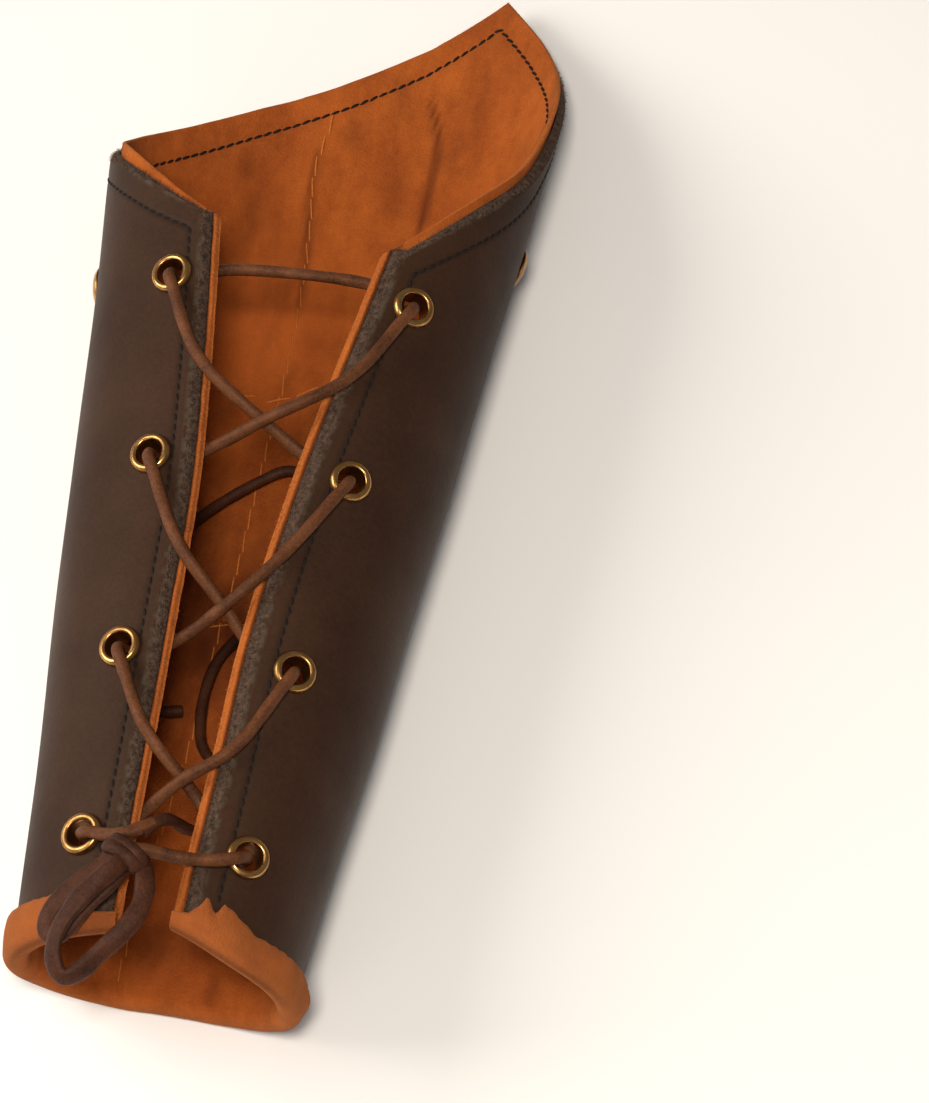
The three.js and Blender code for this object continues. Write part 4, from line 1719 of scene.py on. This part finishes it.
        points[:, 2] = np.maximum(points[:, 2] + wavy, 0.0)
        bead = np.minimum(columns.left_inset / self.left_proud, columns.right_inset / self.right_proud)
        raw = inside * np.clip((self.bead_raw_up_to - bead) * self.bead_raw_fade, 0, 1) * self.bead_raw
        # Painted shade in the roll's fold
        fold = np.zeros(around.shape)
        fold[rolled], raw[rolled] = self._fold(columns)
        # Painted shade on the lining's face beside the shell's edge, where the bead runs under the shell
        hidden = np.clip((bead - self.hidden_from) * self.bead_raw_fade, 0, 1) * (bead < self.hidden_up_to)
        painted_shade_beside_shell = inside * (self.shell_side_dark * hidden)
        soil, rubbed = self._stains(around, along)
        outside = np.clip(1 - course.face_depth, 0, 1)
        # Painted shade in the crease and the fold, with the real dark line of the middle seam
        crease_and_fold_shade_with_seam = np.maximum(np.maximum(crease, self.ridge_dark * ridge), fold)
        plain = np.zeros(around.shape)
        rim = points[2 * around.size:]
        no_mark = np.zeros(len(rim))
        marks = {}
        # Stains and painted shade share one mark; the pale patch of painted light has its own
        for name, front, behind, round_rim in (
            ("raw", raw, raw, self.rim_raw(rim)),
            ("outside", outside, plain, no_mark),
            ("soil", soil * inside, painted_shade_beside_shell, no_mark),
            ("rubbed", rubbed * inside, plain, no_mark),
            ("crease", crease_and_fold_shade_with_seam, plain, no_mark),
        ):
            marks[name] = np.concatenate([front.ravel(), behind.ravel(), round_rim])
        return make_object("lining_suede", points, sheet.faces()[:, ::-1], marks)

    def dress(self, finish: Material) -> Piece:
        """Builds the lining and gives it its suede."""
        return finish_piece(self.build(), ["lining"], finish)


# Turned brass is tarnished below this height, in the shade of its flange
TARNISH_BELOW = 0.35
# A turned profile ends this near to its axis
ON_AXIS = 0.0001


def lathe(name: str, profile: Spots, sides: int, closed: bool) -> Piece:
    """Turns a profile about Z into a mesh object in metres.

    Args:
        name: the object's name.
        profile: rows of radius and height in millimetres.
        sides: number of sides.
        closed: whether the profile's end joins its start; otherwise both ends lie on the axis.

    Returns:
        The object, whose faces point outward.
    """
    rows = np.array(profile, float)
    angle = 2 * np.pi * np.arange(sides) / sides
    ring = np.stack([np.cos(angle), np.sin(angle)], axis=-1)
    points = [
        np.concatenate([ring * radius, np.full((sides, 1), height)], axis=1) for radius, height in rows
    ]
    faces = []
    last = len(rows) if closed else len(rows) - 1
    for row in range(last):
        near = row * sides + np.arange(sides)
        far = ((row + 1) % len(rows)) * sides + np.arange(sides)
        faces.append(np.stack([near, np.roll(near, -1), np.roll(far, -1), far], axis=-1))
    mesh = bpy.data.meshes.new(name)
    mesh.from_pydata((np.concatenate(points) / METRE).tolist(), [], np.concatenate(faces).tolist())
    hollow = np.repeat([1.0 if height < TARNISH_BELOW else 0.0 for _, height in rows], sides)
    mark = mesh.attributes.new("hollow", "FLOAT", "POINT")
    mark.data.foreach_set("value", hollow.astype(np.float32))
    return linked(name, mesh)


def rounded(corners: Spots, cuts: int, closed: bool) -> list[tuple[float, float]]:
    """Rounds a profile by cutting its corners again and again.

    Args:
        corners: rows of radius and height.
        cuts: how many times.
        closed: whether the end joins the start.

    Returns:
        The smoother profile.
    """
    rows = [np.array(corner, float) for corner in corners]
    for _ in range(cuts):
        ends = [] if closed else [rows[0]]
        pairs = zip(rows, rows[1:] + rows[:1]) if closed else zip(rows[:-1], rows[1:])
        cut = [part for a, b in pairs for part in (a * 0.75 + b * 0.25, a * 0.25 + b * 0.75)]
        rows = ends + cut + ([] if closed else [rows[-1]])
    return [tuple(row) for row in rows]


@dataclass
class Studs:
    """Brass eyelets and rivets, set on the wall."""

    wall: Wall
    finish: Material
    sides: int = 40
    eyelet_hole: float = 3.3
    eyelet_barrel: float = 3.75
    eyelet_flange: float = 5.3
    eyelet_dome: float = 1.6
    inner_flange: float = 4.9
    inner_face: float = -4.1
    rivet_cap: float = 5.2
    rivet_dome: float = 1.8
    rivet_back: float = -0.3
    corner_cuts: int = 2

    def _set_on(self, name: str, profile: Spots, closed: bool, tool: NodeTool, places: Spots) -> Piece:
        """Turns a profile and sets the shape on the wall.

        Args:
            name: the piece's name.
            profile: rows of radius and height.
            closed: whether the profile's end joins its start.
            tool: the tree that sets studs.
            places: where, as (around, along).

        Returns:
            The piece with all its studs.
        """
        shape = lathe(f"{name}_shape", profile, self.sides, closed)
        around, along = np.array(places).T
        spots = with_normals(name, self.wall.point(around, along, 0.0), [], self.wall.normal(around, along))
        piece = tool.run(spots, {"Shape": shape, "Material": self.finish})
        bpy.data.objects.remove(shape)
        return piece

    def eyelets(self, tool: NodeTool, places: Spots) -> Piece:
        """Sets an eyelet with a rolled flange outside and a spread one inside at each place.

        Args:
            tool: the tree that sets studs.
            places: where, as (around, along).

        Returns:
            The eyelets.
        """
        hole = self.eyelet_hole
        top = self.eyelet_dome
        profile = [
            (hole, 0.2), (hole + 0.05, top - 0.15), (hole + 0.75, top + 0.12),
            (self.eyelet_flange - 0.45, top - 0.15), (self.eyelet_flange, 0.35),
            (self.eyelet_flange - 0.15, 0.02), (self.eyelet_barrel, 0.02),
            (self.eyelet_barrel, self.inner_face), (self.inner_flange, self.inner_face),
            (self.inner_flange, self.inner_face - 0.5), (hole + 0.5, self.inner_face - 0.9),
            (hole, self.inner_face - 0.4),
        ]
        return self._set_on("eyelets", rounded(profile, self.corner_cuts, True)[::-1], True, tool, places)

    def rivets(self, tool: NodeTool, places: Spots) -> Piece:
        """Sets a domed rivet cap at each place.

        Args:
            tool: the tree that sets studs.
            places: where, as (around, along).

        Returns:
            The rivets.
        """
        cap = self.rivet_cap
        dome = self.rivet_dome
        profile = [
            (ON_AXIS, self.rivet_back), (cap - 0.5, self.rivet_back), (cap, 0.1), (cap, 0.45),
            (cap - 0.6, dome * 0.55), (cap * 0.72, dome * 0.78), (cap * 0.45, dome * 0.95),
            (cap * 0.18, dome), (ON_AXIS, dome),
        ]
        return self._set_on("rivets", rounded(profile, self.corner_cuts, False), False, tool, places)


RIVETS = {
    "rivet_point": EdgePoint(31, 259),
    "rivet_right": EdgePoint(57, 200.5),
    "rivet_left_inner": EdgePoint(-30, 213),
    "rivet_left_outer": EdgePoint(-66, 175),
}


class Leg(NamedTuple):
    """One leg of the lacing: the eyelets that it joins and the places (across, along) that it passes."""

    start: tuple[Side, int]
    end: tuple[Side, int]
    edge: tuple[float, float]
    cross: tuple[float, float]
    under: tuple[float, float]
    over: bool


LEGS_FROM_LEFT = (
    Leg((Side.LEFT, 0), (Side.RIGHT, 1), (-14.3, 139.5), (5, 126), (14.7, 121), False),
    Leg((Side.RIGHT, 1), (Side.LEFT, 2), (15.5, 92), (4.5, 77), (-6.2, 69), True),
    Leg((Side.LEFT, 2), (Side.RIGHT, 3), (-8.2, 43), (3.2, 33), (8.5, 28.5), False),
)
LEGS_FROM_RIGHT = (
    Leg((Side.RIGHT, 0), (Side.LEFT, 1), (22, 139.5), (5, 126), (-8.5, 119.5), True),
    Leg((Side.LEFT, 1), (Side.RIGHT, 2), (-9, 89.5), (4.5, 77), (10, 71), False),
    Leg((Side.RIGHT, 2), (Side.LEFT, 3), (12, 39.5), (3.2, 33), (-5, 27), True),
)
OUT_OF_EYELET = ((0, -1.5), (0.9, 1.8), (3.2, 3.7), (7, 3.4))
INTO_EYELET = ((7, -6.4), (3, -7.3), (0.8, -5.2))

# Routes of the bow and of the surplus lace inside, in metres in the row's frame
KNOT_STRAND_LEFT = to_row(((-13.8, 15.8, 61.9), (-11.6, 14.4, 63.6)))
KNOT_STRAND_RIGHT = to_row(((15.5, 13.4, 61.4), (8.7, 11.8, 62.3), (1.2, 12.2, 64)))
LOOP_BACK = to_row((
    (-9.6, 7.8, 64), (-13.3, 4.2, 63.4), (-17.8, -0.2, 62.2), (-20.8, -5, 60.8), (-20.6, -9.2, 60.4),
    (-17.6, -10.2, 61), (-14.4, -5.4, 62.3), (-11.2, -0.6, 63.4), (-7.8, 3.4, 64), (-5.9, 7.3, 63.8),
))
LOOP_FRONT = to_row((
    (-5.2, 7.4, 67.9), (-9.1, 2.2, 68.3), (-13.8, -4.2, 67.5), (-16.9, -10.6, 65.6), (-17, -16.4, 63.6),
    (-14.2, -20.4, 61.9), (-10.5, -18, 62.2), (-6.8, -13.3, 63.3), (-2.7, -8.5, 64.4), (0.4, -1.5, 64.8),
    (0.2, 4, 65), (-0.9, 8, 65.2),
))
TAIL = to_row((
    (-1.2, 18.2, 65.2), (0.8, 20.8, 63), (2.6, 22.6, 58.5), (4.2, 23.6, 52.5), (8, 25.6, 47.5),
    (15, 30, 48.2), (23.6, 34, 45.6), (28.6, 38, 39.5), (30.2, 42, 30.8), (29, 46, 21.6), (24.6, 50, 15.6),
    (15, 54.5, 9.9), (4, 58, 8.4), (-4, 63, 8.2), (-6.8, 72, 8), (-6, 87, 7.8), (0, 98, 7.6),
    (6.5, 112, 7.4), (9.5, 128, 7.2), (8, 139.5, 7), (2.5, 143, 6.9), (-7, 137, 7.1), (-18.7, 124, 8.8),
    (-25, 108, 12), (-25.6, 88, 12.9), (-22, 76, 11.8), (-17, 71.5, 9.8), (-11.6, 73, 8.6),
))
# How the strands run on into the knot
KNOT_OVER = to_row(((-8.8, 14, 66.2), (-5, 14.3, 67.8), (-2.4, 16.4, 66.9), (-1, 18.6, 64.9)))
KNOT_HOOK = to_row((
    (-2.5, 12.2, 65.6), (-6.4, 11.2, 66.4), (-9.9, 10.8, 65), (-10.2, 12.4, 62.2), (-6, 13.4, 61.6),
))
ROOTS = {
    "lace_loop_back": to_row(((-7.6, 10.6, 64.6), (-5.2, 10.8, 64.2))),
    "lace_loop_front": to_row(((-4, 10.4, 66.2), (-2.6, 10.8, 65.2))),
    "lace_tail": to_row(((-2.6, 15.6, 65.6),)),
}


def smooth_route(stops: Array, spacing: float) -> Array:
    """Draws a smooth line through stops, with even bends however far apart the stops are.

    Args:
        stops: places that the line passes.
        spacing: distance between the line's points.

    Returns:
        The line's points.
    """
    ahead = 2 * stops[0] - stops[1]
    beyond = 2 * stops[-1] - stops[-2]
    stops = np.concatenate([[ahead], stops, [beyond]])
    line = []
    for p0, p1, p2, p3 in zip(stops[:-3], stops[1:-2], stops[2:-1], stops[3:]):
        t1 = np.linalg.norm(p1 - p0) ** 0.5
        t2 = t1 + np.linalg.norm(p2 - p1) ** 0.5
        t3 = t2 + np.linalg.norm(p3 - p2) ** 0.5
        count = max(2, round(np.linalg.norm(p2 - p1) / spacing))
        t = np.linspace(t1, t2, count + 1)[:-1, None]
        a1 = (p0 * (t1 - t) + p1 * t) / t1
        a2 = (p1 * (t2 - t) + p2 * (t - t1)) / (t2 - t1)
        a3 = (p2 * (t3 - t) + p3 * (t - t2)) / (t3 - t2)
        b1 = (a1 * (t2 - t) + a2 * t) / t2
        b2 = (a2 * (t3 - t) + a3 * (t - t1)) / (t3 - t1)
        line.append((b1 * (t2 - t) + b2 * (t - t1)) / (t2 - t1))
    return np.concatenate([*line, stops[-2:-1]])


def relaxed(line: Array, free: Array, passes: int) -> Array:
    """Draws a line tight, so that its bends grow rounder.

    Args:
        line: the line's points.
        free: how far each point may follow its neighbours, from 0 to 1.
        passes: how many times.

    Returns:
        The tighter line.
    """
    line = line.copy()
    for _ in range(passes):
        pull = (line[:-2] + line[2:]) / 2 - line[1:-1]
        line[1:-1] += 0.5 * pull * free[1:-1, None]
    return line


class FreeLace(NamedTuple):
    """A free stretch of lace: its solid, stops in metres, half sizes, far end and unevenness."""

    node: str
    stops: Array
    width: float
    height: float
    far_end: FarEnd
    seed: int


@dataclass
class Lacing:
    """The lace through the eyelets, the knot, the two loops of the bow and the surplus inside."""

    wall: Wall
    finish: Material
    bow_finish: Material
    width: float = 1.5
    height: float = 1.35
    sides: int = 14
    section_power: float = 0.85
    twist: float = 0.5
    twist_size: float = 45.0
    uneven: float = 0.03
    uneven_size: float = 9.0
    end_bulge: float = 0.4
    held_seed: int = 31
    spacing: float = 0.8
    slack: int = 60
    ease: int = 10
    held_near: float = 6.0
    loop_width: float = 2.35
    loop_height: float = 1.2
    knot_lace_width: float = 1.8
    knot_lace_height: float = 1.6
    knot_half_width: float = 4.3
    knot_half_height: float = 3.2
    knot_turns: float = 1.45
    knot_length: float = 2.6
    knot_centre: Triple = (-5.4, 9.8, 65.2)
    knot_axis: Triple = (-0.45, -0.88, 0.1)
    knot_starts: float = -0.6
    knot_points: int = 90
    knot_seed: int = 71
    on_flap: float = 2.4
    over: float = 0.8
    under: float = -3.7
    below_flap: float = -5.9
    bar_lift: float = -6.5
    bar_bow: float = 5.5
    bar_heads_left: float = 17.0
    bar_heads_right: float = 42.0

    def lifted(self, across: float, along: float, lift: float) -> Array:
        """Gives a place above (or, below zero, under) the laced side, in millimetres."""
        return self.wall.point(self.wall.around_at(across, along), along, -lift)

    def beside(self, eyelet: tuple[Side, int], towards: tuple[float, float], rows: Sequence) -> list[Array]:
        """Leads the lace out of or into an eyelet.

        Args:
            eyelet: its side and row.
            towards: the place (across, along) that the lace goes to or comes from.
            rows: distances away from the eyelet, with the lift at each.

        Returns:
            The lace's places.
        """
        side, row = eyelet
        start = np.array((getattr(EYELET_ROWS[row], side.value), EYELET_ROWS[row].along))
        direction = unit(np.array(towards) - start)
        return [self.lifted(*(start + direction * away), lift) for away, lift in rows]

    def leg(self, leg: Leg) -> list[Array]:
        """Leads the lace from the eyelet that it leaves to the one that it goes up through.

        Args:
            leg: the leg of the lacing.

        Returns:
            The lace's places.
        """
        return [
            *self.beside(leg.start, leg.edge, OUT_OF_EYELET),
            self.lifted(*leg.edge, self.on_flap),
            self.lifted(*leg.cross, self.over if leg.over else self.under),
            self.lifted(*leg.under, self.below_flap),
            *self.beside(leg.end, leg.under, INTO_EYELET),
        ]

    def held_route(self) -> Array:
        """Leads the lace from the knot through all eyelets and back.

        Returns:
            Its places, in metres.
        """
        top = EYELET_ROWS[0]
        halves = []
        for side, other, heads, legs, strand, knotted in (
            (Side.LEFT, Side.RIGHT, self.bar_heads_left, LEGS_FROM_LEFT, KNOT_STRAND_RIGHT, KNOT_HOOK),
            (Side.RIGHT, Side.LEFT, self.bar_heads_right, LEGS_FROM_RIGHT, KNOT_STRAND_LEFT, KNOT_OVER),
        ):
            stops = self.beside((side, 0), (0, top.along + heads), INTO_EYELET)
            for leg in legs:
                stops += self.leg(leg)
            first = strand[0] * METRE + ORIGIN
            stops += self.beside((other, 3), (first[0], first[1]), OUT_OF_EYELET[:-1])
            halves.append(np.concatenate([to_row(stops), strand, knotted]))
        middle = to_row(self.lifted((top.left + top.right) / 2, top.along + self.bar_bow, self.bar_lift))
        return np.concatenate([halves[0][::-1], [middle], halves[1]])

    def held_line(self) -> Array:
        """Draws the held lace tight between the eyelets.

        Returns:
            The line's points, in metres.
        """
        line = smooth_route(self.held_route(), self.spacing / METRE)
        centres = to_row([
            self.lifted(getattr(row, side.value), row.along, 0.0) for row in EYELET_ROWS for side in Side
        ])
        nearest = np.linalg.norm(line[:, None] - centres, axis=-1).min(axis=1) * METRE
        free = np.clip((nearest - self.held_near) / self.held_near, 0, 1)
        return relaxed(line, free, self.slack)

    def tube(self, name: str, line: Array, width: float, height: float, seed: int) -> Piece:
        """Makes a slightly flat, uneven lace along a line.

        Args:
            name: the piece's name.
            line: its points, in metres.
            width: half width in millimetres.
            height: half height in millimetres.
            seed: picks its unevenness.

        Returns:
            The piece.
        """
        middle = line * METRE + ORIGIN
        tangent = unit(np.gradient(middle, axis=0))
        across = np.zeros_like(middle)
        side = unit(np.cross(tangent[0], (0.0, 0.0, 1.0)) + (1e-6, 0, 0))
        for index, direction in enumerate(tangent):
            side = unit(side - direction * (side @ direction))
            across[index] = side
        up = np.cross(across, tangent)
        far = np.concatenate([[0], np.cumsum(np.linalg.norm(np.diff(middle, axis=0), axis=1))])[:, None]
        twist = self.twist * ripple(far, self.twist_size, seed)
        thick = 1 + self.uneven * ripple(far, self.uneven_size, seed + 1)
        angle = 2 * np.pi * np.arange(self.sides) / self.sides
        spread = np.sign(np.cos(angle)) * np.abs(np.cos(angle)) ** self.section_power * width
        rise = np.sign(np.sin(angle)) * np.abs(np.sin(angle)) ** self.section_power * height
        turned_x = spread * np.cos(twist)[:, None] - rise * np.sin(twist)[:, None]
        turned_y = spread * np.sin(twist)[:, None] + rise * np.cos(twist)[:, None]
        rings = middle[:, None] + thick[:, None, None] * (
            turned_x[..., None] * across[:, None] + turned_y[..., None] * up[:, None]
        )
        count = len(middle)
        grid = np.arange(count * self.sides).reshape(count, self.sides)
        near = grid[:-1]
        next_ring = grid[1:]
        quads = np.stack([near, np.roll(near, -1, 1), np.roll(next_ring, -1, 1), next_ring], axis=-1)
        faces = [list(quad) for quad in quads.reshape(-1, 4)]
        points = [rings.reshape(-1, 3)]
        for end, (ring, sign) in enumerate(((0, -1), (count - 1, 1))):
            centre = grid.size + end
            points.append((middle[ring] + sign * tangent[ring] * self.end_bulge)[None])
            for corner in range(self.sides):
                pair = [grid[ring, corner], grid[ring, (corner + 1) % self.sides]]
                faces.append([*pair[::-sign], centre])
        return make_object(name, np.concatenate(points), faces, {})

    def knot(self) -> Piece:
        """Makes the knot: a turn and a half of lace drawn tight round the roots of the loops.

        Returns:
            The knot.
        """
        lengthways = unit(np.array(self.knot_axis))
        across = unit(np.cross(lengthways, (0.0, 0.0, 1.0)))
        upward = np.cross(across, lengthways)
        angle = np.linspace(self.knot_starts, 2 * np.pi * self.knot_turns, self.knot_points)
        share = np.linspace(-0.5, 0.5, self.knot_points)
        line = (
            np.array(self.knot_centre)
            + np.outer(np.cos(angle), across * self.knot_half_width)
            + np.outer(np.sin(angle), upward * self.knot_half_height)
            + np.outer(share, lengthways * self.knot_length)
        )
        half_sizes = (self.knot_lace_width, self.knot_lace_height)
        return self.tube("lace_knot_tied", to_row(line), *half_sizes, self.knot_seed)

    def build(self) -> dict[str, Piece]:
        """Returns:
            The pieces by the solid that each stands for.
        """
        held = self.tube("lace_held", self.held_line(), self.width, self.height, self.held_seed)
        knot = self.knot()
        pieces = {"lace": held, "lace_knot": knot}
        free_laces = (
            FreeLace("lace_loop_back", LOOP_BACK, self.loop_width, self.loop_height, FarEnd.OBJECT, 41),
            FreeLace("lace_loop_front", LOOP_FRONT, self.loop_width, self.loop_height, FarEnd.OBJECT, 43),
            FreeLace("lace_tail", TAIL, self.width, self.height, FarEnd.BARE, 47),
        )
        lines = {}
        for name, stops, width, height, _, seed in free_laces:
            root = ROOTS[name]
            line = smooth_route(np.concatenate([root[:1], stops, root[1:]]), self.spacing / METRE)
            lines[name] = relaxed(line, np.ones(len(line)), self.ease)
            pieces[name] = self.tube(f"{name}_strand", lines[name], width, height, seed)
        for name, piece in pieces.items():
            # The knot and the loops take the darker copy of the lace: painted shade, with handling
            finish_piece(piece, [name], self.finish if piece is held else self.bow_finish)
        for name, stops, width, height, far_end, _ in free_laces:
            line = lines[name]
        return pieces


# The seam up the middle of the lining and its two short cross rows
LINING_SEAM = table(
    EdgePoint,
    (-14.3, 5), (-13.6, 14), (-12.5, 30), (-9, 60), (-8, 81), (-7.6, 93), (-6.5, 112), (-6, 133),
    (-5.6, 151), (-5, 170), (-5.3, 194), (-6.8, 216), (-8.6, 232), (-7, 247),
)
CROSS_ROWS = (
    table(EdgePoint, (-21.5, 164.4), (-14, 164.4), (-8, 163.7), (-2.5, 165.2), (1.5, 167.6)),
    table(EdgePoint, (-12.5, 98.4), (-7, 98.9)),
)


@dataclass
class Sewing:
    """All stitches: dark ones through the edge, orange ones in the lining's seam."""

    wall: Wall
    seams: Seams
    dark: Material
    orange: Material
    pitch: float = 2.7
    length: float = 2.2
    radius: float = 0.38
    rise: float = 0.28
    slant: float = 0.25
    sunk_outside: float = 0.3
    sunk_inside: float = 0.4
    seam_pitch: float = 6.4
    seam_length: float = 6.0
    seam_radius: float = 0.22
    seam_rise: float = 0.2
    seam_slant: float = 0.16
    seam_proud: float = 0.05
    seam_step: float = 1.0
    inner_face: float = 3.8
    seed: int = 5

    def _path(self, name: str, around: Array, along: Array, depth: float, facing: Facing) -> Piece:
        """Makes a path of edges at a depth in the wall, with the normal at each point.

        Args:
            name: the object's name.
            around: distances round the wall.
            along: places along.
            depth: depth of the path.
            facing: which way its stitches look.

        Returns:
            The path.
        """
        edges = [(index, index + 1) for index in range(len(around) - 1)]
        normals = facing.value * self.wall.normal(around, along)
        return with_normals(name, self.wall.point(around, along, depth), edges, normals)

    def build(self, tool: NodeTool) -> list[Piece]:
        """Sews the edge's row outside and inside, and the lining's seam.

        Args:
            tool: the tree that sews.

        Returns:
            The rows of stitches.
        """
        around, along = self.seams.path()
        edge = {
            "Pitch": self.pitch / METRE,
            "Length": self.length / METRE,
            "Thread radius": self.radius / METRE,
            "Rise": self.rise / METRE,
            "Slant": self.slant,
            "Seed": self.seed,
            "Material": self.dark,
        }
        seam = {
            **edge,
            "Pitch": self.seam_pitch / METRE,
            "Length": self.seam_length / METRE,
            "Thread radius": self.seam_radius / METRE,
            "Rise": self.seam_rise / METRE,
            "Slant": self.seam_slant,
            "Material": self.orange,
        }
        sunk = self.inner_face - self.sunk_inside
        outside = self._path("stitches_outside", around, along, self.sunk_outside, Facing.OUTSIDE)
        inside = self._path("stitches_inside", around, along, sunk, Facing.INSIDE)
        pieces = [
            finish_piece(tool.run(outside, edge), []),
            finish_piece(tool.run(inside, edge), []),
        ]
        proud = self.inner_face + self.seam_proud
        for number, row in enumerate((LINING_SEAM, *CROSS_ROWS), start=1):
            stops = np.array([(point.around, point.along, 0.0) for point in row])
            line = smooth_route(stops, self.seam_step)
            path = self._path(f"lining_seam_{number}", line[:, 0], line[:, 1], proud, Facing.INSIDE)
            pieces.append(finish_piece(tool.run(path, seam), []))
        return pieces


class Camera(NamedTuple):
    """The photograph's camera, in millimetres from the wrist."""

    place: Triple = (191.365, -379.168, 994.636)
    right: Triple = (0.98438, 0.16668, -0.05666)
    up: Triple = (-0.12157, 0.87637, 0.46605)
    back: Triple = (0.12733, -0.45189, 0.88294)
    lens: float = 148.235
    sensor: float = 36.0
    nearest: float = 0.01
    farthest: float = 20.0


class AreaLight(NamedTuple):
    """A soft light: its place and aim in metres, size, power in watts and colour."""

    name: str
    place: Triple
    aim: Triple
    size: float
    power: float
    colour: Colour


LIGHTS = (
    AreaLight("key", (-1.0, -0.1, 0.8), (0.0, 0.02, 0.03), 0.8, 13.0, (1.0, 0.93, 0.84)),
    AreaLight("top", (0.13, -0.5, 1.2), (0.0, 0.02, 0.03), 0.2, 12.0, (1.0, 0.9, 0.79)),
    AreaLight("front", (-0.3, -1.1, 0.6), (0.0, -0.1, 0.03), 0.7, 2.0, (1.0, 0.94, 0.86)),
)


@dataclass
class Studio:
    """Floor, soft lights and the photograph's camera."""

    view: Camera = Camera()
    lights: tuple[AreaLight, ...] = LIGHTS
    floor_half: float = 3.0
    floor_drop: float = 0.0003
    sky: Colour = (1.0, 0.99, 0.98)
    sky_strength: float = 0.2

    def build(self) -> None:
        """Builds the stage."""
        half = self.floor_half
        corners = [(-half, -half), (half, -half), (half, half), (-half, half)]
        mesh = bpy.data.meshes.new("floor")
        mesh.from_pydata([(x, y, -self.floor_drop) for x, y in corners], [], [(0, 1, 2, 3)])
        mesh.materials.append(Floor().material())
        floor = linked("floor", mesh)
        for light in self.lights:
            self._light(light)
        world = bpy.data.worlds.new("studio")
        world.use_nodes = True
        background = world.node_tree.nodes["Background"]
        background.inputs["Color"].default_value = (*self.sky, 1.0)
        background.inputs["Strength"].default_value = self.sky_strength
        bpy.context.scene.world = world
        bpy.context.scene.view_settings.view_transform = "Standard"
        self._camera()

    def _stand(self, thing: Piece, axes: Sequence, place: Sequence) -> None:
        """Turns a light or the camera and puts it in its place.

        Args:
            thing: the light or the camera.
            axes: its right, up and back directions.
            place: its place in metres.
        """
        turn = np.eye(4)
        turn[:3, :3] = np.stack(axes, axis=1)
        turn[:3, 3] = place
        thing.matrix_world = Matrix(turn.tolist())

    def _light(self, light: AreaLight) -> None:
        """Adds one soft light.

        Args:
            light: the light.
        """
        data = bpy.data.lights.new(light.name, "AREA")
        data.size = light.size
        data.energy = light.power
        data.color = light.colour
        back = unit(np.array(light.place) - np.array(light.aim))
        right = unit(np.cross((0.0, 0.0, 1.0), back))
        self._stand(linked(light.name, data), (right, np.cross(back, right), back), light.place)

    def _camera(self) -> None:
        """Sets the photograph's camera."""
        data = bpy.data.cameras.new("camera")
        data.lens = self.view.lens
        data.sensor_width = self.view.sensor
        data.clip_start = self.view.nearest
        data.clip_end = self.view.farthest
        camera = linked("camera", data)
        self._stand(camera, (self.view.right, self.view.up, self.view.back), to_row(self.view.place))
        bpy.context.scene.camera = camera


@dataclass
class Fibres:
    """Loose fibres on the raw edges of the leather and the suede."""

    tool: NodeTool
    length: float = 1.0
    radius: float = 0.07
    seed: int = 17
    on_leather: float = 5.0e6
    on_suede: float = 6.0e6

    def grow(self, sheet: Piece, name: str, finish: Strand, slot: Slot) -> Piece:
        """Grows fibres where a sheet is marked raw.

        Args:
            sheet: the leather or the suede.
            name: the new piece's name.
            finish: the fibres' finish.
            slot: the sheet's material slot.

        Returns:
            The fibres.
        """
        base = linked(name, sheet.data.copy())
        sizes = {
            "Density": self.on_leather if slot is Slot.SHELL else self.on_suede,
            "Length": self.length / METRE,
            "Radius": self.radius / METRE,
            "Seed": self.seed,
            "Material": finish.material(),
        }
        return finish_piece(self.tool.run(base, sizes), [])


def main() -> None:
    """Builds the bracer piece by piece and reports each one."""
    logging.basicConfig(level=logging.INFO, format="%(name)s: %(message)s")
    Studio().build()
    wall = Wall()
    seams = Seams(wall)
    lacing = Lacing(wall, LaceLeather().material(), HANDLED_AND_SHADED_BOW_LEATHER.material())
    pieces = list(lacing.build().values())
    places = [
        (float(wall.around_at(getattr(row, side.value), row.along)), row.along)
        for row in EYELET_ROWS
        for side in Side
    ]
    shell = Shell(wall, seams, places).dress(ShellLeather().material())
    lining = Lining(wall, seams, places).dress(Suede().material())
    fibres = Fibres(fuzz_tool())
    shell_fibres = fibres.grow(shell, "shell_fibres", LEATHER_FIBRE, Slot.SHELL)
    lining_fibres = fibres.grow(lining, "lining_fibres", SUEDE_FIBRE, Slot.LINING)
    pieces += [shell, lining, shell_fibres, lining_fibres]
    studs = Studs(wall, Brass().material())
    stud = stud_tool()
    eyelet_nodes = [f"eyelet_{side.value}_{row + 1}" for row in range(len(EYELET_ROWS)) for side in Side]
    pieces.append(finish_piece(studs.eyelets(stud, places), eyelet_nodes))
    rivets = studs.rivets(stud, list(RIVETS.values()))
    pieces.append(finish_piece(rivets, list(RIVETS)))
    sewing = Sewing(wall, seams, DARK_THREAD.material(), ORANGE_THREAD.material())
    pieces += sewing.build(stitch_tool())
    for piece in pieces:
        LOG.info("%s: %d faces", piece.name, len(piece.data.polygons))


if __name__ == "__main__":
    main()
